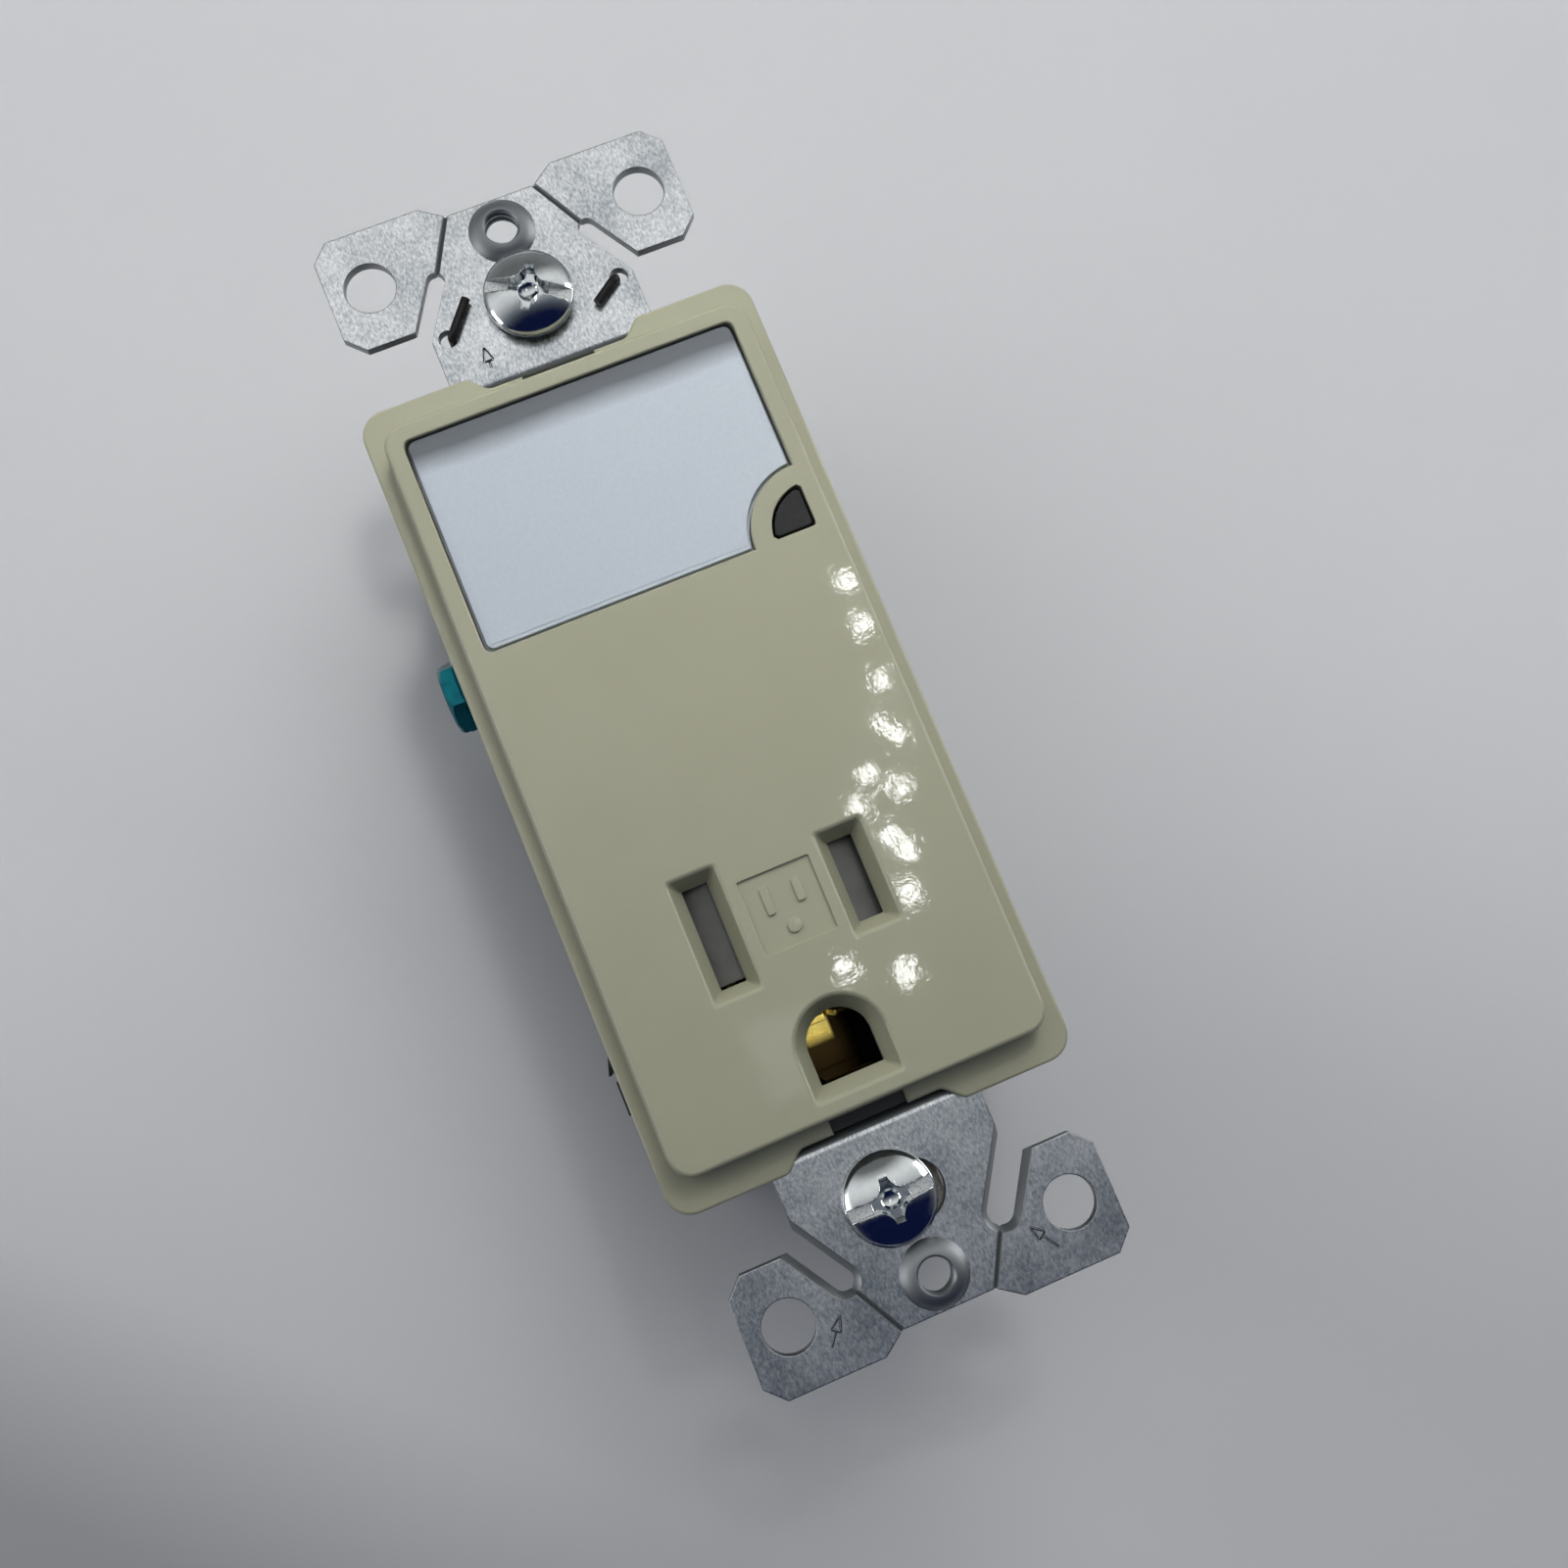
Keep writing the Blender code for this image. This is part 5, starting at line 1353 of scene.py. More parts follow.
    def build(self) -> Mesh:
        """Makes the whole moulding.

        Returns:
            Its mesh.
        """
        edges = (self.flange_low_edge, self.flange_edge)
        flange = plate(self.flange_outline(), LEVELS.flange_low, LEVELS.flange_top, *edges)
        cover = combined(flange, Operation.JOIN, [self.face_body()])
        wide, long = self.cavity
        room = rounded_rectangle((-wide, wide), (-long, long), self.window_r, 4)
        cavity = plate(room, LEVELS.flange_low - OVER, LEVELS.face_inner)
        cover = combined(cover, Operation.CUT, [cavity])
        boss_z = (self.boss_low, LEVELS.face_inner + OVER)
        bosses = [plate(circle(post, self.boss_r, 32), *boss_z) for post in self.posts]
        cover = combined(cover, Operation.JOIN, bosses)
        top, low = LEVELS.face_top, LEVELS.face_inner - OVER
        recess = rounded_rectangle(*self.mark, self.mark_r, 3)
        cutters = [
            opening(self.window_outline(0.0), low, top, self.window_lip),
            opening(self.sensor_outline(0.0), low, top, self.sensor_lip),
            self.mouth(lambda grow: self.slot_outline(self.neutral_slot, grow), self.flare),
            self.mouth(lambda grow: self.slot_outline(self.hot_slot, grow), self.flare),
            self.mouth(self.pin_outline, self.pin_flare),
            opening(recess, top - self.mark_depth, top, self.mark_lip),
        ]
        pilot_z = (self.boss_low - OVER, self.pilot_top)
        cutters += [plate(circle(post, self.pilot_r, 24), *pilot_z) for post in self.posts]
        return shaded(combined(cover, Operation.CUT, cutters))

    def emblem(self) -> Mesh:
        """A plain raised pictogram of a socket in the square recess.

        Returns:
            Its mesh.
        """
        x, y = (sum(limits) / 2 for limits in self.mark)
        low, high = LEVELS.face_top - self.mark_depth - self.emblem_root, LEVELS.face_top - self.emblem_drop
        outlines = [
            rounded_rectangle((x + x0, x + x1), (y + y0, y + y1), radius, steps)
            for (x0, x1), (y0, y1), radius, steps in self.emblem_parts
        ]
        return shaded(joined([plate(outline, low, high, 0.0, self.emblem_edge) for outline in outlines]))

    def dress(self) -> None:
        """Adds the cover to the object."""
        place("cover_moulding", self.build(), ALMOND, Body.DEVICE, "front_cover")
        place("cover_pictogram", self.emblem(), ALMOND, Body.DEVICE)


@dataclass
class NightLight:
    """The frosted panel, the sensor's window and the electronics below them."""

    cover: CoverMoulding
    panel_gap: float = 0.27
    panel_lift: float = 0.18
    panel_edge: Point = (0.1, 0.03)
    ledge: Point = (0.06, 31.1)
    groove: tuple[Point, ...] = ((-14.3, 30.4), (-14.3, 12.9), (8.75, 12.9))
    groove_w: float = 0.1
    groove_depth: float = 0.05
    pipe_gap: float = 0.2
    pipe: Point = (23.05, 32.05)
    pipe_edge: float = 0.12

    def panel(self) -> Mesh:
        """The panel on its ledge, close to the window's top wall, with a fine groove on two sides.

        Returns:
            Its mesh.
        """
        low, high = self.cover.window[1]
        stretch = self.panel_lift / (high - low)
        outline = [(x, y + (y - low) * stretch) for x, y in self.cover.window_outline(self.panel_gap)]
        gap, level = self.ledge
        wide, top = self.cover.window_outline(gap), LEVELS.lens_top
        edge, soft = self.panel_edge
        rings = [(wide, LEVELS.lens_low), (wide, level), (outline, level), (outline, top - edge)]
        rings += [(grown(outline, -soft), top - soft), (grown(outline, -edge), top)]
        band = strip(self.groove, self.groove_w)
        cutter = loft([(band, top - self.groove_depth), (band, top + OVER)])
        return shaded(combined(loft(rings), Operation.CUT, [cutter]))

    def dress(self) -> None:
        """Adds the night light to the object."""
        place("frosted_panel", self.panel(), FROSTED, Body.DEVICE, "night_light_lens")
        pipe = plate(self.cover.sensor_outline(self.pipe_gap), *self.pipe, 0.0, self.pipe_edge)
        place("sensor_pipe", shaded(pipe), SMOKED, Body.DEVICE, "sensor_window")
        parts = (
            ("light_box", "reflector_box", WHITE, 0.15),
            ("circuit_board", "driver_board", LAMINATE, 0.1),
            ("led_left", "lamp_left", PHOSPHOR, 0.1),
            ("led_middle", "lamp_middle", PHOSPHOR, 0.1),
            ("led_right", "lamp_right", PHOSPHOR, 0.1),
            ("photo_sensor", "light_sensor", SMOKED, 0.1),
            ("capacitor", "dropper_capacitor", FILM, 0.2),
            ("rectifier", "bridge_rectifier", EPOXY, 0.1),
            ("resistor", "bleed_resistor", LACQUER, 0.15),
            ("neutral_lead", "white_lead", WHITE_LEAD, 0.0),
            ("hot_lead", "black_lead", BLACK_LEAD, 0.0),
        )
        for node, name, finish, edge in parts:
            soften_node(node, name, finish, Body.DEVICE, edge)


@dataclass
class StrapStamping:
    """The strap, stamped flat with all its holes and then folded round the device."""

    threads: ThreadRule
    thickness: float = 1.0
    edge: float = 0.06
    roll_h: float = 0.09
    roll: float = 1.3
    neck_w: float = 9.4
    bend_r: float = 0.62
    leg_y: float = 35.35
    tab_x: float = 16.2
    tab_y: Point = (9.1, 19.5)
    tab_top: float = 18.0
    ground: Point = (14.3, 13.0)
    ground_r: float = 2.45
    rivet_z: float = 8.0
    rivet_r: float = 1.75
    shoulder: Point = (9.4, 41.0)
    ear: tuple[Point, ...] = (
        (10.4, 42.3), (14.8, 42.3), (16.4, 43.9), (16.4, 51.35),
        (14.8, 52.95), (6.2, 52.95), (4.15, 51.5),
    )
    ear_hole: Point = (12.6, 47.6)
    ear_hole_r: float = 2.25
    notch_end: Point = (7.1, 46.1)
    notch_mouth: Point = (9.9, 41.65)
    notch_run: float = 3.0
    top_notch_w: float = 1.6
    strippers: tuple[float, float] = (1.8, 2.3)
    stripper_bevel: float = 0.55
    stripper_land: float = 0.15
    stripper_edge: Point = (0.05, 0.06)
    score_w: float = 0.5
    score_depth: float = 0.32
    plate_y: float = 48.41
    plate_r: float = 1.45
    plate_thread: Point = (0.794, 0.27)
    tap_share: float = 1.4
    tap_tip: float = 0.1
    tap_drop: float = 0.55
    collar: tuple[Point, ...] = (
        (2.95, 0.0), (2.86, 0.17), (2.62, 0.44), (2.32, 0.66),
        (2.02, 0.81), (1.82, 0.87), (1.66, 0.9),
    )
    collar_lip: Point = (0.17, 1.2)
    mount_y: float = 41.67
    mount_l: float = 7.35
    mount_w: float = 5.3
    clip_hole: Point = (8.0, 40.75)
    clip_hole_r: float = 0.8
    arrows: tuple[tuple[Point, Point], ...] = (
        ((-8.42, -48.37), (-9.99, -50.45)),
        ((8.65, -48.08), (10.33, -50.49)),
        ((-5.4, 38.9), (-5.4, 36.95)),
    )
    arrow_head: Point = (1.27, 0.42)
    groove_w: float = 0.22
    groove_depth: float = 0.34
    groove_draft: float = 0.08
    bend_steps: int = 8
    sharp: float = 32.0
    formed_rise: float = 0.01
    formed_tilt: float = 0.93
    collar_h: float = field(init=False)
    back_y: float = field(init=False)
    shift: float = field(init=False)
    arc_l: float = field(init=False)
    leg_l: float = field(init=False)

    def __post_init__(self) -> None:
        """Works out how far the flat pattern runs ahead of the folded strap."""
        self.collar_h = self.collar[-1][1]
        self.back_y = self.leg_y - self.bend_r
        self.arc_l = QUARTER * self.bend_r
        middle = self.thickness / 2
        self.leg_l = LEVELS.strap_top - middle - self.bend_r - (middle + self.bend_r)
        self.shift = self.back_y + 2 * self.arc_l + self.leg_l - (self.leg_y + self.bend_r)

    def flat(self, x: float, y: float) -> Point:
        """Where a point of a flat end lies in the pattern."""
        return (x, y + math.copysign(self.shift, y))

    def at_ear(self, spot: Point, sign_x: int, sign_y: int) -> Point:
        """Where a point at the upper right ear lies in the pattern at the ear with these signs."""
        return self.flat(sign_x * spot[0], sign_y * spot[1])

    def pattern(self) -> Outline:
        """Lays out the flat pattern.

        Returns:
            The outline, counter-clockwise.
        """
        end = [self.shoulder, *self.ear]
        right = [self.flat(x, -y) for x, y in reversed(end)] + [self.flat(x, y) for x, y in end]
        reach = -(self.tab_x + self.arc_l + self.tab_top - self.thickness / 2 - self.bend_r)
        low, high = self.tab_y
        tab = [(-self.neck_w, high), (reach, high), (reach, low), (-self.neck_w, low)]
        left = [(-x, y) for x, y in reversed(right)]
        half = len(left) // 2
        return right + left[:half] + tab + left[half:]

    def notch(self, sign_x: int, sign_y: int) -> Mesh:
        """The notch beside an ear; the lower ones are wire strippers with a bevel all round.

        Args:
            sign_x: Side of the ear.
            sign_y: End of the strap.

        Returns:
            The cutter.
        """
        end = Vector(self.at_ear(self.notch_end, sign_x, sign_y))
        mouth = Vector(self.at_ear(self.notch_mouth, sign_x, sign_y))
        start = mouth + (mouth - end).normalized() * self.notch_run
        top = self.thickness / 2
        if sign_y > 0:
            return opening(stadium(start, end, self.top_notch_w), -top - OVER, top, self.edge)
        width, bevel, (inner, outer) = self.strippers[sign_x > 0], self.stripper_bevel, self.stripper_edge
        levels = ((0.0, -top - OVER), (0.0, self.stripper_land - top), (bevel - inner, top - outer))
        levels += ((bevel + outer, top + TOUCH), (bevel + outer, top + OVER))
        return loft([(stadium(start, end, width + 2 * grow), z) for grow, z in levels])

    def score(self, sign_x: int, sign_y: int, side: int) -> Mesh:
        """A groove on one face along the line where an ear breaks off.

        Args:
            sign_x: Side of the ear.
            sign_y: End of the strap.
            side: Face of the sheet.

        Returns:
            The cutter.
        """
        start = Vector(self.at_ear(self.notch_end, sign_x, sign_y))
        end = Vector(self.at_ear(self.ear[-1], sign_x, sign_y))
        along = (end - start).normalized()
        half, depth, level = self.score_w / 2, self.score_depth, side * self.thickness / 2
        bm = bmesh.new()
        across = Vector((-along.y, along.x))
        rows = []
        for point in (start, end + along * OVER):
            corners = ((-half * 2, depth), (half * 2, depth), (0.0, -depth))
            rows.append([
                bm.verts.new((*((point + across * u) * MM), (level + side * v) * MM)) for u, v in corners
            ])
        for i in range(3):
            bm.faces.new((rows[0][i - 1], rows[0][i], rows[1][i], rows[1][i - 1]))
        bm.faces.new(rows[0])
        bm.faces.new(rows[1])
        return mesh_from(bm)

    def arrow(self, tip: Point, tail: Point) -> list[Mesh]:
        """Stamped lines of an open arrow.

        Args:
            tip: Where it points.
            tail: Where it starts.

        Returns:
            The cutters.
        """
        tip_at, tail_at = Vector(self.flat(*tip)), Vector(self.flat(*tail))
        along = (tip_at - tail_at).normalized()
        across = Vector((-along.y, along.x))
        root = tip_at - along * self.arrow_head[0]
        barb = across * self.arrow_head[1]
        lines = ((tip_at, root + barb), (tip_at, root - barb), (root + barb, root - barb), (root, tail_at))
        top = self.thickness / 2
        cutters = []
        for line in lines:
            band = strip([tuple(point) for point in line], self.groove_w)
            floor = grown(band, -self.groove_draft)
            cutters.append(loft([(floor, top - self.groove_depth), (band, top + TOUCH), (band, top + OVER)]))
        return cutters

    def collars(self) -> list[Mesh]:
        """The raised collars that give the cover-plate holes enough thread.

        Returns:
            One for each end, in the flat pattern.
        """
        top = self.thickness / 2
        profile = [(0.0, 0.0), (self.collar[0][0], 0.0)]
        profile += [(radius, top + rise) for radius, rise in self.collar]
        profile.append((0.0, top + self.collar_h))
        return [moved(revolve(profile), (*self.flat(0.0, s * self.plate_y), 0.0)) for s in ENDS]

    def taps(self) -> list[Mesh]:
        """Cuts the threads in the cover-plate holes.

        Returns:
            The cutters.
        """
        pitch, depth = self.plate_thread
        radius, length = self.plate_r + depth, 2 * (self.thickness + self.collar_h)
        sizes = (radius, length, pitch, depth * self.tap_share, self.tap_tip)
        level = self.collar_h / 2 - self.tap_drop
        spots = [(*self.flat(0.0, s * self.plate_y), level) for s in ENDS]
        return [moved(self.threads.rod(*sizes, ZINC_SHEET), spot) for spot in spots]

    def holes(self) -> list[Mesh]:
        """Cuts the round holes and the mounting slots.

        Returns:
            The cutters.
        """
        top, low = self.thickness / 2, -self.thickness / 2 - OVER
        ears = [circle(self.at_ear(self.ear_hole, *signs), self.ear_hole_r) for signs in CORNERS]
        cutters = [opening(ear, low, top, self.roll_h, self.roll) for ear in ears]
        for s in ENDS:
            outline = circle(self.flat(0.0, s * self.plate_y), self.plate_r)
            cutters.append(opening(outline, low, top + self.collar_h, *self.collar_lip))
            clip = circle(self.at_ear(self.clip_hole, s, 1), self.clip_hole_r, 32)
            cutters.append(opening(clip, low, top, self.edge))
        reach = (self.mount_l - self.mount_w) / 2
        for s in ENDS:
            start, end = self.flat(-reach, s * self.mount_y), self.flat(reach, s * self.mount_y)
            cutters.append(opening(stadium(start, end, self.mount_w), low, top, self.edge))
        up = self.arc_l - self.thickness / 2 - self.bend_r
        ground = (-(self.tab_x + up + self.ground[1]), self.ground[0])
        rivet = (0.0, -(self.back_y + up + self.rivet_z))
        for spot, radius in ((ground, self.ground_r), (rivet, self.rivet_r)):
            cutters.append(opening(circle(spot, radius), low, top, self.edge))
        return cutters

    def folded(self, mesh: Mesh) -> Mesh:
        """Folds the flat pattern into the strap.

        Args:
            mesh: The flat pattern, which is used up.

        Returns:
            The folded mesh.
        """
        bm = bmesh.new()
        bm.from_mesh(mesh)
        bpy.data.meshes.remove(mesh)
        starts = (self.back_y, self.back_y + self.arc_l + self.leg_l)
        runs = [self.arc_l * i / self.bend_steps for i in range(self.bend_steps + 1)]
        across, along = Vector((1, 0, 0)), Vector((0, 1, 0))
        planes = [((-self.tab_x - run) * across, across) for run in runs]
        planes += [(s * (start + run) * along, along) for start in starts for run in runs for s in ENDS]
        for point, normal in planes:
            everything = bm.verts[:] + bm.edges[:] + bm.faces[:]
            bmesh.ops.bisect_plane(bm, geom=everything, plane_co=point * MM, plane_no=normal, dist=WELD)
        for vert in bm.verts:
            vert.co = Vector(self.fold_point(*(vert.co / MM))) * MM
        return mesh_from(bm)

    def turn(self, run: float, height: float) -> Point:
        """The first bend, from a flat run to a wall.

        Args:
            run: Length along the sheet from the start of the bend.
            height: Distance from the sheet's middle, towards the device.

        Returns:
            How far out and how far up the point lies from the start of the bend.
        """
        if run <= 0:
            return run, self.thickness / 2 + height
        a = min(run / self.bend_r, QUARTER)
        radius = self.bend_r - height
        rest = max(0.0, run - self.arc_l)
        return radius * math.sin(a), self.thickness / 2 + self.bend_r - radius * math.cos(a) + rest

    def fold_point(self, x: float, y: float, z: float) -> Place:
        """Where a point of the flat pattern goes.

        Args:
            x: Its place across the strap.
            y: Its place along the strap.
            z: Its distance from the sheet's middle.

        Returns:
            Its place in the folded strap.
        """
        low, high = self.tab_y
        if x < -self.tab_x and low - 1 < y < high + 1:
            out, up = self.turn(-x - self.tab_x, z)
            return (-self.tab_x - out, y, up)
        side, run = math.copysign(1.0, y), abs(y) - self.back_y
        second = run - self.arc_l - self.leg_l
        if second <= 0:
            out, up = self.turn(run, z)
            return (x, side * (self.back_y + out), up)
        a = min(second / self.bend_r, QUARTER)
        radius = self.bend_r + z
        rest = max(0.0, second - self.arc_l)
        centre = self.leg_y + self.bend_r
        level = LEVELS.strap_top - self.thickness / 2 - self.bend_r
        return (x, side * (centre - radius * math.cos(a) + rest), level + radius * math.sin(a))

    def build(self) -> Mesh:
        """Stamps, cuts and folds the strap.

        Returns:
            Its mesh.
        """
        half = self.thickness / 2
        sheet = plate(self.pattern(), -half, half, self.edge, self.roll_h, self.roll)
        sheet = combined(sheet, Operation.JOIN, self.collars())
        sheet = combined(sheet, Operation.CUT, self.holes() + [self.notch(*signs) for signs in CORNERS])
        sheet = combined(sheet, Operation.CUT, self.taps())
        for side in ENDS:
            sheet = combined(sheet, Operation.CUT, [self.score(*signs, side) for signs in CORNERS])
        lines = [line for ends in self.arrows for line in self.arrow(*ends)]
        sheet = combined(sheet, Operation.CUT, lines, overlapping=True)
        # sheared and formed faces get the zinc's darker worked colour, partly painted shade and dark
        # reflection
        return worked(shaded(self.folded(sheet), sharp=self.sharp), self.pressed)

    def pressed(self, face: bpy.types.MeshPolygon) -> bool:
        """Whether a face of the flat ends was sheared or formed.

        Args:
            face: The face.

        Returns:
            True where it was.
        """
        spot = face.center / MM
        formed = spot.z > LEVELS.strap_top + self.formed_rise or abs(face.normal.z) < self.formed_tilt
        return formed and spot.z > LEVELS.strap_top - self.thickness - self.bend_r

    def dress(self) -> None:
        """Adds the strap and what is fixed to it to the object."""
        place("stamped_strap", self.build(), ZINC_SHEET, Body.DEVICE, "mounting_strap")
        soften_node("ground_rivet", "brass_rivet", BRASS, Body.DEVICE, 0.15)
        for end in ("top", "bottom"):
            soften_node(f"{end}_screw_retainer", f"{end}_retainer_card", FIBRE, Body.DEVICE, 0.1)


@dataclass
class GroundingClip:
    """The dark spring wire that comes up through the strap on both sides of the top screw."""

    wire_r: float = 0.4
    top: float = 28.6
    low: float = 25.4
    hole: Point = (7.62, 40.55)
    left_end: Point = (-5.25, 43.4)
    right_end: Point = (5.25, 38.9)
    touch: Point = (1.75, 39.32)
    bend_r: float = 0.45

    def route(self) -> list[Vector]:
        """Points along the wire, with its bends rounded.

        Returns:
            The points from its left end to its right end.
        """
        (x, y), (touch_x, touch_y), steps = self.hole, self.touch, 5
        corners = [
            (*self.left_end, self.top), (-x, y, self.top), (-x, y, self.low), (-touch_x, touch_y, self.low),
            (touch_x, touch_y, self.low), (x, y, self.low), (x, y, self.top), (*self.right_end, self.top),
        ]
        points = [Vector(corner) for corner in corners]
        route = [points[0]]
        for before, here, after in zip(points, points[1:], points[2:]):
            first = here + (before - here).normalized() * self.bend_r
            last = here + (after - here).normalized() * self.bend_r
            route += [eased(first, here, last, i / steps) for i in range(steps + 1)]
        return [*route, points[-1]]

    def dress(self) -> None:
        """Adds the clip to the object."""
        curve = bpy.data.curves.new("clip", "CURVE")
        curve.dimensions = "3D"
        curve.bevel_depth = self.wire_r * MM
        curve.bevel_resolution = 4
        curve.use_fill_caps = True
        route = self.route()
        spline = curve.splines.new("POLY")
        spline.points.add(len(route) - 1)
        for point, spot in zip(spline.points, route):
            point.co = (*(spot * MM), 1.0)
        place("grounding_wire", shaded(evaluated(curve)), BLUED, Body.DEVICE, "self_grounding_clip")


@dataclass(frozen=True)
class Fastener:
    """A screw: a turned head with its drive, over a threaded shank along -Z."""

    head_r: float
    rim: float
    dome: float
    shank_r: float
    length: float
    pitch: float
    slot_w: float
    slot_depth: float
    cross_l: float = 0.0
    tip: float = 1.0
    soft: float = 0.18
    dome_power: float = 2.2
    cross_arm: float = 0.195
    cross_hollow: float = 1.026
    cross_depth: float = 0.75
    root: float = 0.2
    thread_share: float = 0.45

    def star(self, share: float) -> Outline:
        """The drive's cross with hollow flanks between its arms.

        Args:
            share: Share of its full size.

        Returns:
            The outline, counter-clockwise.
        """
        reach = self.cross_l * share
        half, corner = self.cross_arm * reach, self.cross_hollow * reach
        start = 360.0 + math.degrees(math.atan2(half - corner, reach - corner))
        flank = arc((corner, corner), math.hypot(half - corner, reach - corner), start, 450.0 - start)
        outline = []
        for _ in range(4):
            outline += flank
            flank = [(-y, x) for x, y in flank]
        return outline

    def head(self) -> Mesh:
        """The head with its slot, and its cross where it has one.

        Returns:
            The closed mesh.
        """
        top, steps = self.rim + self.dome, 12
        profile = [(0.0, top)]
        for i in range(1, steps + 1):
            share = i / steps
            radius = (self.head_r - self.soft * 0.5) * share
            profile.append((radius, top - self.dome * share**self.dome_power))
        profile += [(self.head_r, self.rim - self.soft), (self.head_r, self.soft)]
        profile += [(self.head_r - self.soft, 0.0), (0.0, 0.0)]
        head = revolve(profile)
        long, half, floor = self.head_r + OVER, self.slot_w / 2, top - self.slot_depth
        slot = [
            (rounded_rectangle((-long, long), (-half * k, half * k), 0.05, 2), z)
            for k, z in ((0.9, floor), (1.0, floor + 0.1), (1.08, top + OVER))
        ]
        head = combined(head, Operation.CUT, [loft(slot)])
        if not self.cross_l:
            return head
        deep = self.cross_depth * self.cross_l
        rings = ((0.84, deep), (0.9, deep * 0.9), (1.0, deep * 0.1), (1.02, -OVER))
        pit = loft([(self.star(share), top - fall) for share, fall in rings])
        bowl = ((0.0, 1.2), (0.27, 1.16), (0.45, 1.02), (0.5, 0.9), (0.0, 0.9))
        well = revolve([(radius * self.cross_l, top - deep * fall) for radius, fall in bowl], 32)
        return combined(combined(head, Operation.CUT, [pit]), Operation.CUT, [well])

    def build(self, threads: ThreadRule, finish: Finish) -> Mesh:
        """Makes the whole screw.

        Args:
            threads: The rule that makes its shank.
            finish: Its surface.

        Returns:
            The screw with its seat at the origin.
        """
        length, depth = self.length + self.root, self.pitch * self.thread_share
        shank = threads.rod(self.shank_r, length, self.pitch, depth, self.tip, finish)
        shank = moved(shank, (0.0, 0.0, (self.root - self.length) / 2))
        made = joined([shaded(self.head(), edge=0.05, sharp=40.0), shaded(shank, sharp=50.0)])
        level = (self.rim + self.dome - self.slot_depth) * MM
        return worked(made, lambda face: face.normal.z > 0.9 and abs(face.center.z - level) < 0.05 * MM)


@dataclass
class BoxScrews:
    """The two box screws that stay in the strap."""

    threads: ThreadRule
    screw: Fastener = Fastener(
        head_r=3.95, rim=0.7, dome=1.4, shank_r=1.75, length=21.0, pitch=0.8, slot_w=1.08, slot_depth=1.3,
        cross_l=1.95,
    )
    top: Place = (0.0, 41.67, 28.7)
    top_angle: float = -27.0
    bottom: Place = (-1.05, -41.37, 28.2)
    bottom_angle: float = 1.5

    def dress(self) -> None:
        """Adds both screws to the object."""
        ends = (
            ("top", self.top, self.top_angle, Body.TOP_SCREW),
            ("bottom", self.bottom, self.bottom_angle, Body.BOTTOM_SCREW),
        )
        for end, spot, angle, body in ends:
            turn = Matrix.Rotation(math.radians(angle), 4, "Z")
            mesh = moved(self.screw.build(self.threads, BRIGHT_ZINC), spot, turn)
            place(f"{end}_box_screw", mesh, BRIGHT_ZINC, body, f"{end}_mounting_screw")


